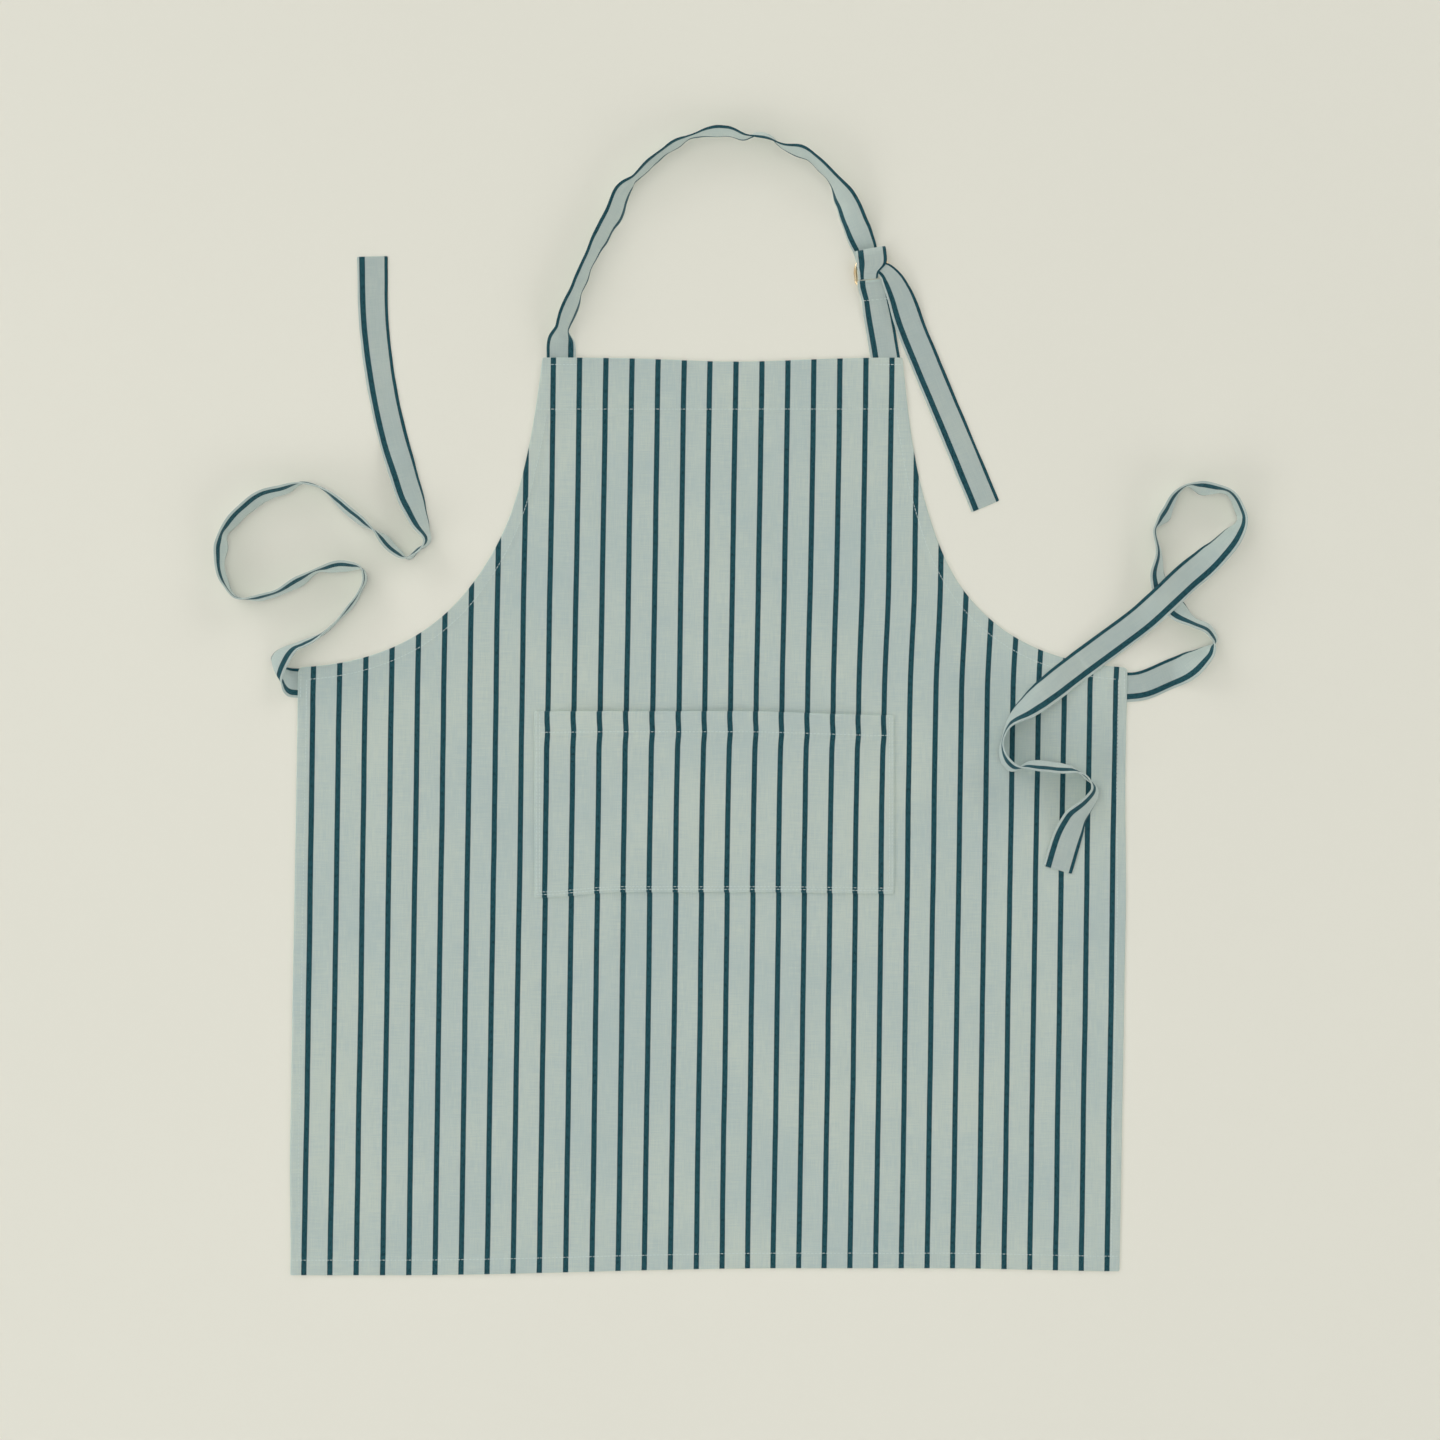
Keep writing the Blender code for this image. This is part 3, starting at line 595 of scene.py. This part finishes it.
def make_pocket(material):
    """A patch with a seam turned in at three sides and a deeper hem at its mouth."""
    seam_steps = fold_steps(POCKET_SEAM)
    mouth_steps = fold_steps(POCKET_HEM)
    half = POCKET_WIDTH / 2 - EDGE
    near = [0.0, 0.0015, 0.0032, 0.0055, 0.0085, 0.012]
    across = spread(-half + 0.015, half - 0.015, 70)
    across = [-half + step for step in near] + across + [half - step for step in reversed(near)]
    bottom = POCKET_TOP_Y - POCKET_DEPTH
    row = POCKET_TOP_Y - MOUTH_ROW
    extra = [row + step for step in (-0.0045, -0.0025, -0.0012, 0, 0.0012, 0.0025)]
    levels = [bottom + step for step in near[:-1]]
    levels += spread(bottom + 0.014, POCKET_TOP_Y, 40, extra)
    flaps = len(seam_steps)
    rows = flaps + len(levels) + len(mouth_steps)
    columns = 2 * flaps + len(across)
    places = []
    keys = []
    for i in range(rows):
        level = levels[min(max(i - flaps, 0), len(levels) - 1)]
        under = seam_steps[flaps - 1 - i] if i < flaps else 0.0
        over = mouth_steps[i - flaps - len(levels)] if i >= flaps + len(levels) else 0.0
        for j in range(columns):
            left = seam_steps[flaps - 1 - j] if j < flaps else 0.0
            right = seam_steps[j - flaps - len(across)] if j >= flaps + len(across) else 0.0
            if (left or right) and (under or over):
                continue
            deep = max(left, right) > seam_steps[BEND_STEPS - 1]
            if deep and (level < bottom + POCKET_SEAM or level > row - 0.003):
                continue
            x = across[min(max(j - flaps, 0), len(across) - 1)]
            places.append((x, level, right - left, over - under))
            keys.append((i, j))
    flat_place_x, flat_place_y, beyond, beyond_y = np.array(places).T
    out, drop = folded(np.abs(beyond), FOLD_RADIUS)
    out_y, drop_y = folded(np.abs(beyond_y), FOLD_RADIUS)
    x = flat_place_x + np.sign(beyond) * out
    y = flat_place_y + np.sign(beyond_y) * out_y
    z = pocket_height(np.column_stack([x, y])) - drop - drop_y
    edge_x, edge_y = pocket_lie(flat_place_x, flat_place_y)
    pull = MOUTH_ROW_PULL * hill(flat_place_y, row, 0.008)
    cuts = stripe_cut(edge_x + beyond, edge_y + beyond_y, POCKET_STRIPE_SHIFT - pull)
    spots = np.column_stack([*pocket_lie(x, y), z])
    return lay_sheet("apron_pocket", rows, columns, keys, spots, cuts, material, "pocket")


# Tapes


TAPE = 0.0013
TAPE_STEP = 0.0016
TAPE_STRIPE = 0.0044
TAPE_FOLD_BAND = 0.0224
TAPE_COLUMNS = 11
ON_CLOTH = 0.0036
TAPE_GAP = 0.0003
LEAN_SWAY = 0.22
BELLY = 0.0007
RIPPLE = 0.0003
PLEAT = 0.0011
FOOT = 0.0022
BOW = 0.0028
EDGE_WANDER = 0.035
FULL_WIDTH = 0.85  # narrower than this share, the tape is gathered in pleats
END_STEPS = 12
TAPE_SEED_STEP = 3.7


def slopes_at(knots, values):
    """Slopes at the knots. Height, lean, facing and width never swing past their knots."""
    slopes = np.gradient(values, knots, axis=0)
    rates = np.diff(values, axis=0) / np.diff(knots)[:, None]
    before, after = rates[:-1], rates[1:]
    limit = 3 * np.minimum(np.abs(before), np.abs(after)) * (before * after > 0)
    slopes[1:-1, 2:] = np.clip(slopes[1:-1], -limit, limit)[:, 2:]
    return slopes


def through(knots, values, at):
    """Values on one smooth curve through the knots."""
    slopes = slopes_at(knots, values)
    span = np.clip(np.searchsorted(knots, at, side="right") - 1, 0, len(knots) - 2)
    length = (knots[span + 1] - knots[span])[:, None]
    share = (at - knots[span])[:, None] / length
    rest = 1 - share
    start = values[span] * (1 + 2 * share) * rest**2 + slopes[span] * length * share * rest**2
    end = values[span + 1] * (3 - 2 * share) - slopes[span + 1] * length * rest
    return start + end * share**2


def over_cloth(x, y):
    """True where the body cloth lies."""
    xs, ys = zip(*armhole_curve(40))
    half = BODY_WIDTH / 2 if y < SIDE_TOP_Y else float(np.interp(y, ys, xs))
    return BOTTOM_Y < y < BIB_TOP_Y and abs(flat_x(x, y)) < half


def tape_lines(route, crest_side, settle):
    """Middle points, half-width vectors and width shares along a route."""
    points = np.array([point[:3] for point in route])
    lean = np.radians([point[3] for point in route])
    ahead = np.gradient(points, axis=0)
    square = np.arctan2(ahead[:, 1], ahead[:, 0]) + crest_side * math.pi / 2
    given = [point[4] for point in route]
    facing = [angle if turn is None else math.radians(turn) for turn, angle in zip(given, square)]
    width = [point[5] for point in route]
    values = np.column_stack([points, lean, np.unwrap(facing), width])
    knots = distances(points)
    count = math.ceil(knots[-1] / TAPE_STEP)
    x, y, low, lean, facing, width = through(knots, values, np.linspace(0, knots[-1], count)).T
    steep = soft_step(np.abs(np.sin(lean)), 0.5, 0.9)
    places = [Vector((index * TAPE_STEP * 42, knots[-1] * 9, 1.7)) for index in range(count)]
    lean = lean + LEAN_SWAY * steep * np.array([noise.noise(place) for place in places])
    if settle:
        for index in range(count):
            if low[index] > ON_CLOTH - 0.0002 and over_cloth(x[index], y[index]):
                low[index] += lift_at(x[index], y[index]) + TAPE_GAP - ON_CLOTH
    half = STRAP_WIDTH / 2 * width
    up = half * np.abs(np.sin(lean))
    middle = np.column_stack([x, y, low + TAPE / 2 * np.abs(np.cos(lean)) + up])
    flat = half * np.cos(lean)
    across = np.column_stack([flat * np.cos(facing), flat * np.sin(facing), up])
    return middle, across, width


def make_tape(name, route, crest_side, crest_is_fold, material, settle, seed):
    """A folded tape, its middle line and its length. The cut map runs from the seam to the fold."""
    middle, across, width = tape_lines(route, crest_side, settle)
    along = np.gradient(middle, axis=0)
    along /= np.linalg.norm(along, axis=1)[:, None]
    face = np.cross(along, across)
    face /= np.linalg.norm(face, axis=1)[:, None]
    run = distances(middle)

    def place(i, j):
        share = 2 * j / (TAPE_COLUMNS - 1) - 1
        crown = 1 - share * share
        belly = BELLY * noise.noise(Vector((run[i] * 34, seed, 0.3))) * crown
        ripple = RIPPLE * noise.noise(Vector((run[i] * 110, share * 1.5, seed + 5)))
        pleat = PLEAT * max(0.0, FULL_WIDTH - width[i]) * math.sin(share * 8.0)
        flat_end = min(1.0, min(i, len(middle) - 1 - i) / END_STEPS)
        steep = min(1.0, abs(across[i][2]) / 0.008)
        wave = noise.noise(Vector((run[i] * 62, seed + 9, 0.8)))
        foot = FOOT * wave * steep * (0.5 - share / 2)
        bow = BOW * crown * steep * max(-1.0, min(1.0, face[i][2] / 0.2))
        shift = (belly + ripple + foot + bow) * flat_end + pleat
        wander = noise.noise(Vector((run[i] * 48, seed + 3 * share, 4.1)))
        edge = 1 + EDGE_WANDER * wander * abs(share)
        spot = middle[i] + across[i] * share * edge + face[i] * shift
        side = (share + 1) / 2 if crest_is_fold else (1 - share) / 2
        spot[2] = max(spot[2], TAPE / 2 * 0.4)
        return tuple(spot), (side * STRAP_WIDTH, run[i])

    grid = sheet_mesh(len(middle), TAPE_COLUMNS, place)
    obj = finish_mesh(name + "_tape", grid, TAPE, material, name)
    rounded = obj.modifiers.new("rounded", "SUBSURF")
    rounded.levels = 1
    rounded.render_levels = 1
    rounded.uv_smooth = "NONE"
    return obj, middle, run[-1]


# D-ring


def ring_line():
    """The D's centre line in its own plane."""
    corner_steps = 10
    arc_steps = 48
    arc_v = RING_HEIGHT - RING_HALF_WIDTH
    reach = RING_HALF_WIDTH - RING_CORNER
    line = []
    for step in range(corner_steps + 1):
        turn = math.pi / 2 * (step / corner_steps - 1)
        u = reach + RING_CORNER * math.cos(turn)
        line.append((u, RING_CORNER + RING_CORNER * math.sin(turn)))
    for step in range(arc_steps + 1):
        turn = math.pi * step / arc_steps
        line.append((RING_HALF_WIDTH * math.cos(turn), arc_v + RING_HALF_WIDTH * math.sin(turn)))
    line += [(-u, v) for u, v in reversed(line[: corner_steps + 1])]
    return line


def make_ring(material):
    """The D of round wire, lying in the straps."""
    curve = bpy.data.curves.new("ring_wire", "CURVE")
    curve.dimensions = "3D"
    curve.bevel_depth = RING_WIRE_RADIUS
    curve.bevel_resolution = 7
    spline = curve.splines.new("POLY")
    line = ring_line()
    spline.points.add(len(line) - 1)
    for point, (u, v) in zip(spline.points, line):
        point.co = (u, v, 0, 1)
    spline.use_cyclic_u = True
    spline.use_smooth = True
    curve.materials.append(material)
    obj = add_object("ring_wire", curve)
    obj.rotation_euler = (RING_TILT, 0, RING_TURN)
    obj.location = (RING_X, RING_Y, RING_BAR_Z)
    bpy.context.view_layer.update()
    stand_for(obj, "ring", "d_ring")


# Stitches

STITCH_PITCH = 0.0032
STITCH_LENGTH = 0.0028
STITCH_RADIUS = 0.00022
STITCH_SIDES = 6
STITCH_WANDER = 0.00012
END_ROW_HALF = 0.0115
TIE_ROW_Y = 0.0685
STITCH_RINGS = (  # shift along the stitch, girth and rise, as shares of its length and radius
    (-0.5, 0.35, -1.3),
    (-0.3, 0.95, 0.1),
    (0.0, 1.0, 0.35),
    (0.3, 0.95, 0.1),
    (0.5, 0.35, -1.3),
)


def stitch_row(name, points, material, node):
    """Separate stitches along a line that lies on the cloth, each dipping in at both ends."""
    line = np.array(points)
    run = distances(line)
    count = max(2, int(run[-1] / STITCH_PITCH))
    verts = []
    faces = []

    def at(distance):
        return np.array([np.interp(distance, run, line[:, axis]) for axis in range(3)])

    for index in range(count):
        center = (index + 0.5) * run[-1] / count
        wander = STITCH_WANDER * noise.noise(Vector((index * 0.37, run[-1] * 50, 2.0)))
        along = at(center + 0.001) - at(center - 0.001)
        along /= np.linalg.norm(along)
        side = np.cross([0, 0, 1], along)
        side /= np.linalg.norm(side)
        up = np.cross(along, side)
        first = len(verts)
        for shift, girth, rise in STITCH_RINGS:
            middle = at(center) + along * shift * STITCH_LENGTH
            middle += up * (rise * STITCH_RADIUS) + side * wander
            for k in range(STITCH_SIDES):
                turn = 2 * math.pi * k / STITCH_SIDES
                reach = STITCH_RADIUS * girth
                verts.append(middle + reach * (math.cos(turn) * side + math.sin(turn) * up))
        for ring in range(first, len(verts) - STITCH_SIDES, STITCH_SIDES):
            for k in range(STITCH_SIDES):
                a, b = ring + k, ring + (k + 1) % STITCH_SIDES
                faces.append((a, b, b + STITCH_SIDES, a + STITCH_SIDES))
        faces.append(tuple(reversed(range(first, first + STITCH_SIDES))))
        faces.append(tuple(range(len(verts) - STITCH_SIDES, len(verts))))
    mesh = bpy.data.meshes.new(name)
    mesh.from_pydata([tuple(v) for v in verts], [], faces)
    mesh.shade_smooth()
    mesh.materials.append(material)
    return stand_for(add_object(name, mesh), "apron", node)


def on_sheet(line, height, lies, step=0.004):
    """Points on a sheet's top along a flat line, as the cloth lies."""
    line = np.array(line, float)
    run = distances(line)
    at = np.linspace(0, run[-1], max(2, int(run[-1] / step)))
    flat = np.column_stack([np.interp(at, run, line[:, 0]), np.interp(at, run, line[:, 1])])
    z = height(flat) + CLOTH / 2 + STITCH_RADIUS * 0.4
    return np.column_stack([*lies(flat[:, 0], flat[:, 1]), z])


def armhole_row(top):
    """The stitch row inside the right armhole, from the side's row up to this level."""
    curve = armhole_curve(60)
    line = []
    for index, (x, y) in enumerate(curve):
        across, up = outward(curve, index)
        x, y = x - SIDE_HEM * across, y - SIDE_HEM * up
        if x < BODY_WIDTH / 2 - SIDE_ROW and y < top:
            line.append((x, y))
    return line


def make_body_stitches(material):
    """The hems' rows and the rows that hold the straps' ends."""
    bib_row = BIB_TOP_Y - BIB_HEM
    bottom_row = BOTTOM_Y + BOTTOM_HEM
    curve = armhole_row(bib_row)
    half = curve[-1][0] + 0.006
    end = BODY_WIDTH / 2 - 0.001
    side_x = BODY_WIDTH / 2 - SIDE_ROW
    rows = [
        ("bib_hem", [(-half, bib_row), (half, bib_row)]),
        ("bottom_hem", [(-end, bottom_row), (end, bottom_row)]),
    ]
    for name, sign in (("left", -1), ("right", 1)):
        rows.append((name + "_armhole", [(sign * x, y) for x, y in curve]))
        x = sign * side_x
        rows.append((name + "_side_hem", [(x, bottom_row), (x, curve[0][1])]))
    level = BIB_TOP_Y - 0.006
    for name, x in (("neck_strap", -0.1352), ("ring_strap", 0.1415)):
        rows.append((name + "_end", [(x - END_ROW_HALF, level), (x + END_ROW_HALF, level)]))
    for name, x in (("left_tie", 0.0025 - BODY_WIDTH / 2), ("right_tie", BODY_WIDTH / 2 - 0.0025)):
        low, high = TIE_ROW_Y - END_ROW_HALF, TIE_ROW_Y + END_ROW_HALF
        rows.append((name + "_end", [(x, low), (x, high)]))
    made = []
    for name, line in rows:
        spots = on_sheet(line, cloth_height, lie)
        made.append(stitch_row(name + "_stitches", spots, material, name + "_thread"))
    return made


def make_pocket_stitches(material):
    """The double row round three sides and the row under the mouth."""
    bottom = POCKET_TOP_Y - POCKET_DEPTH
    top = POCKET_TOP_Y - 0.001
    row = POCKET_TOP_Y - MOUTH_ROW
    lines = []
    for name, inset in (("outer", 0.002), ("inner", 0.0043)):
        half = POCKET_WIDTH / 2 - inset
        low = bottom + inset
        lines.append((name, [(-half, top), (-half, low), (half, low), (half, top)]))
    half = POCKET_WIDTH / 2 - 0.0053
    lines.append(("mouth", [(-half, row), (half, row)]))
    made = []
    for name, line in lines:
        spots = on_sheet(line, pocket_height, pocket_lie)
        made.append(stitch_row(f"pocket_{name}_stitches", spots, material, f"pocket_{name}_thread"))
    return made


def make_loop_stitches(material):
    """The row that closes the short strap's loop round the ring."""
    z = 0.0022 + TAPE + STITCH_RADIUS
    spots = [(*at_ring(u, -0.0140, 0, 0, 0, 1)[:2], z) for u in np.linspace(-0.0108, 0.0112, 8)]
    stitch_row("ring_loop_stitches", spots, material, "ring_loop_thread")


# Materials


class Nodes:
    """Short calls for building a material's nodes."""

    def __init__(self, name):
        self.material = bpy.data.materials.new(name)
        self.material.use_nodes = True
        self.tree = self.material.node_tree
        self.shader = self.tree.nodes["Principled BSDF"]

    def node(self, kind, **values):
        made = self.tree.nodes.new(kind)
        for key, value in values.items():
            setattr(made, key, value)
        return made

    def feed(self, socket, value):
        if isinstance(value, (int, float, tuple)):
            socket.default_value = value
        else:
            self.tree.links.new(value, socket)

    def math(self, operation, *values):
        made = self.node("ShaderNodeMath", operation=operation)
        for socket, value in zip(made.inputs, values):
            self.feed(socket, value)
        return made.outputs[0]

    def ramp(self, value, low, high, start=0.0, end=1.0):
        made = self.node("ShaderNodeMapRange", interpolation_type="SMOOTHSTEP")
        for socket, item in zip(made.inputs, (value, low, high, start, end)):
            self.feed(socket, item)
        return made.outputs[0]

    def cut(self):
        """Across and along positions in metres from the piece's flat-cut map."""
        uv = self.node("ShaderNodeUVMap", uv_map="cut")
        parts = self.node("ShaderNodeSeparateXYZ")
        self.tree.links.new(uv.outputs[0], parts.inputs[0])
        return parts.outputs[0], parts.outputs[1]

    def noise(self, x, y, scale_x, scale_y, detail=2.0):
        join = self.node("ShaderNodeCombineXYZ")
        self.feed(join.inputs[0], self.math("MULTIPLY", x, scale_x))
        self.feed(join.inputs[1], self.math("MULTIPLY", y, scale_y))
        made = self.node("ShaderNodeTexNoise")
        made.inputs["Scale"].default_value = 1.0
        made.inputs["Detail"].default_value = detail
        self.tree.links.new(join.outputs[0], made.inputs["Vector"])
        return made.outputs[0]

    def mix(self, share, first, second):
        made = self.node("ShaderNodeMix", data_type="RGBA")
        self.feed(made.inputs[0], share)
        for socket, color in ((made.inputs[6], first), (made.inputs[7], second)):
            self.feed(socket, (*color, 1.0) if isinstance(color, tuple) else color)
        return made.outputs[2]

    def grain(self, scale, detail=2.0):
        """Noise that stays with the object."""
        place = self.node("ShaderNodeTexCoord")
        made = self.node("ShaderNodeTexNoise")
        made.inputs["Scale"].default_value = scale
        made.inputs["Detail"].default_value = detail
        self.tree.links.new(place.outputs["Object"], made.inputs["Vector"])
        return made.outputs[0]

    def bump(self, height, distance, strength):
        made = self.node("ShaderNodeBump")
        made.inputs["Strength"].default_value = strength
        made.inputs["Distance"].default_value = distance
        self.tree.links.new(height, made.inputs["Height"])
        self.shade("Normal", made.outputs[0])

    def shade(self, name, value):
        self.feed(self.shader.inputs[name], value)


PALE = (0.540, 0.608, 0.532)
PALE_SHADE = (0.435, 0.527, 0.503)
TAPE_PALE = (0.465, 0.530, 0.478)
TAPE_SHADE = (0.390, 0.468, 0.446)
STRIPE_DARK = (0.003, 0.038, 0.050)
STRIPE_LIGHT = (0.026, 0.128, 0.152)
THREAD_DARK = (0.50, 0.60, 0.56)
THREAD_LIGHT = (0.66, 0.74, 0.70)
BRASS_BRIGHT = (0.92, 0.76, 0.50)
BRASS_DULL = (0.78, 0.58, 0.32)
FLOOR_DARK = (0.780, 0.768, 0.668)
FLOOR_LIGHT = (0.822, 0.806, 0.702)
THREAD_PITCH = 0.00062
TWILL_PITCH = 0.0013


def cotton(name, stripe, light, shaded):
    """Plain-weave cotton with twill stripes. stripe(nodes, across) gives the stripe's mask."""
    n = Nodes(name)
    across, along = n.cut()
    drift = n.math("MULTIPLY", n.math("SUBTRACT", n.noise(across, along, 9, 6), 0.5), 0.0016)
    frayed = n.math("MULTIPLY", n.math("SUBTRACT", n.noise(across, along, 900, 900), 0.5), 0.0004)
    moved = n.math("ADD", n.math("ADD", across, drift), frayed)
    mask = stripe(n, moved)
    warp = n.noise(across, along, 1500, 60, 3)
    weft = n.noise(across, along, 60, 1500, 3)
    slub = n.math("MULTIPLY", n.math("ADD", warp, weft), 0.5)
    cloud = n.noise(across, along, 9, 9, 3)
    shade = n.math("ADD", n.math("MULTIPLY", slub, 1.6), n.math("MULTIPLY", cloud, 0.9))
    pale = n.mix(n.ramp(shade, 0.95, 1.60), shaded, light)
    diagonal = n.math("ADD", across, n.math("MULTIPLY", along, 0.8))
    turn = n.math("MULTIPLY", diagonal, 2 * math.pi / TWILL_PITCH)
    twill = n.ramp(n.math("SINE", turn), -0.2, 1.0)
    speck = n.math("MULTIPLY", twill, n.ramp(n.noise(across, along, 700, 300), 0.30, 0.55))
    dark = n.mix(speck, STRIPE_DARK, STRIPE_LIGHT)
    n.shade("Base Color", n.mix(mask, pale, dark))
    wave_x = n.math("SINE", n.math("MULTIPLY", across, 2 * math.pi / THREAD_PITCH))
    wave_y = n.math("SINE", n.math("MULTIPLY", along, 2 * math.pi / THREAD_PITCH))
    weave = n.math("MULTIPLY", wave_x, wave_y)
    fine = n.math("ADD", n.math("MULTIPLY", weave, 0.25), n.math("MULTIPLY", slub, 1.2))
    ribs = n.math("MULTIPLY", twill, n.math("MULTIPLY", mask, 0.4))
    crease = n.noise(across, along, 40, 40, 4)
    n.bump(n.math("ADD", n.math("ADD", fine, ribs), crease), 0.0005, 0.35)
    n.shade("Roughness", n.ramp(slub, 0.3, 0.7, 0.80, 0.94))
    n.shade("Specular IOR Level", 0.25)
    n.shade("Sheen Weight", 0.12)
    n.shade("Sheen Roughness", 0.45)
    return n.material


def body_stripe(n, across):
    """Even stripes."""
    share = n.math("FRACT", n.math("DIVIDE", across, STRIPE_PITCH))
    away = n.math("MULTIPLY", n.math("ABSOLUTE", n.math("SUBTRACT", share, 0.5)), STRIPE_PITCH)
    return n.ramp(away, STRIPE_HALF - 0.0002, STRIPE_HALF + 0.0002, 1.0, 0.0)


def tape_stripe(n, across):
    """One stripe beside the seam and the edge of another on the fold."""
    away = n.math("ABSOLUTE", n.math("SUBTRACT", across, TAPE_STRIPE))
    line = n.ramp(away, STRIPE_HALF - 0.0001, STRIPE_HALF + 0.0003, 1.0, 0.0)
    fold = n.ramp(across, TAPE_FOLD_BAND - 0.0002, TAPE_FOLD_BAND + 0.0002)
    return n.math("MAXIMUM", line, fold)


def thread_material():
    n = Nodes("sewing_thread")
    grain = n.grain(900)
    n.shade("Base Color", n.mix(grain, THREAD_DARK, THREAD_LIGHT))
    n.shade("Roughness", n.ramp(grain, 0.3, 0.7, 0.55, 0.8))
    n.bump(grain, 0.0001, 0.4)
    return n.material


def brass_material():
    n = Nodes("brass")
    grain = n.grain(160, 4)
    n.shade("Base Color", n.mix(n.ramp(grain, 0.35, 0.7), BRASS_BRIGHT, BRASS_DULL))
    n.shade("Roughness", n.ramp(grain, 0.3, 0.7, 0.18, 0.38))
    n.shade("Metallic", 1.0)
    n.bump(grain, 0.0001, 0.15)
    return n.material


def floor_material():
    n = Nodes("paper_floor")
    n.shade("Base Color", n.mix(n.grain(1.2), FLOOR_DARK, FLOOR_LIGHT))
    n.shade("Roughness", 0.9)
    n.shade("Specular IOR Level", 0.2)
    return n.material


# Floor, light and camera


FLOOR_SIZE = 120
OVERHEAD_STRENGTH = 0.49
OVERHEAD_SPREAD = 60
FILL_STRENGTHS = ((45, 1.32), (135, 1.57), (225, 1.42), (315, 1.22))  # by turn round the apron
FILL_RISE = 0.32
FILL_SPREAD = 50
PANEL_WATTS = 11.8
PANEL_SIZE = 3
PANEL_PLACE = (-1.8, -0.5, 2.6)
ROOM_COLOR = (0.96, 0.98, 1.0, 1)
ROOM_STRENGTH = 0.15


def make_stage():
    bpy.ops.mesh.primitive_plane_add(size=FLOOR_SIZE, location=(0, 0, 0))
    floor = bpy.context.object
    floor.name = "floor"
    floor.data.materials.append(floor_material())


def aim(obj, place):
    """Turns a light to shine from this direction towards the apron."""
    obj.rotation_euler = Vector(place).to_track_quat("Z", "Y").to_euler()


def add_sun(name, strength, spread_angle, direction, shadow=True):
    light = bpy.data.lights.new(name, "SUN")
    light.energy = strength
    light.angle = math.radians(spread_angle)
    light.use_shadow = shadow
    aim(add_object(name, light), direction)


def make_light():
    """A wide overhead light, one side panel, low fills all round and a pale room."""
    add_sun("overhead", OVERHEAD_STRENGTH, OVERHEAD_SPREAD, (-0.20, 0.25, 1.0))
    for turn, strength in FILL_STRENGTHS:
        way = (math.cos(math.radians(turn)), math.sin(math.radians(turn)), FILL_RISE)
        add_sun(f"fill_{turn}", strength, FILL_SPREAD, way, shadow=False)
    panel = bpy.data.lights.new("side_panel", "AREA")
    panel.energy = PANEL_WATTS
    panel.size = PANEL_SIZE
    obj = add_object("side_panel", panel)
    obj.location = PANEL_PLACE
    aim(obj, PANEL_PLACE)
    world = bpy.data.worlds.new("studio")
    world.use_nodes = True
    back = world.node_tree.nodes["Background"]
    back.inputs[0].default_value = ROOM_COLOR
    back.inputs[1].default_value = ROOM_STRENGTH
    bpy.context.scene.world = world


def make_camera():
    data = bpy.data.cameras.new("camera")
    data.sensor_width = SENSOR
    data.lens = SENSOR * CAMERA_HEIGHT / VIEW_WIDTH
    obj = add_object("camera", data)
    obj.location = (CAMERA_X, CAMERA_Y, CAMERA_HEIGHT)
    bpy.context.scene.camera = obj


# The scene

make_camera()
tape = cotton("striped_tape", tape_stripe, TAPE_PALE, TAPE_SHADE)
tapes = {}
for tape_name, tape_route, side, fold_up, settles in (
    ("neck_strap", NECK_ROUTE, 1, True, False),
    ("left_tie", LEFT_TIE_ROUTE, -1, False, False),
    ("right_tie", RIGHT_TIE_ROUTE, 1, False, True),
    ("ring_strap", RING_STRAP_ROUTE, 1, True, False),
):
    seed = len(tapes) * TAPE_SEED_STEP
    tapes[tape_name] = make_tape(tape_name, tape_route, side, fold_up, tape, settles, seed)
cloth = cotton("striped_cotton", body_stripe, PALE, PALE_SHADE)
thread = thread_material()
body = make_body(cloth)
pocket = make_pocket(cloth)
make_ring(brass_material())
body_stitches = make_body_stitches(thread)
pocket_stitches = make_pocket_stitches(thread)
make_loop_stitches(thread)
make_stage()
make_light()
bpy.context.scene.view_settings.view_transform = "Standard"
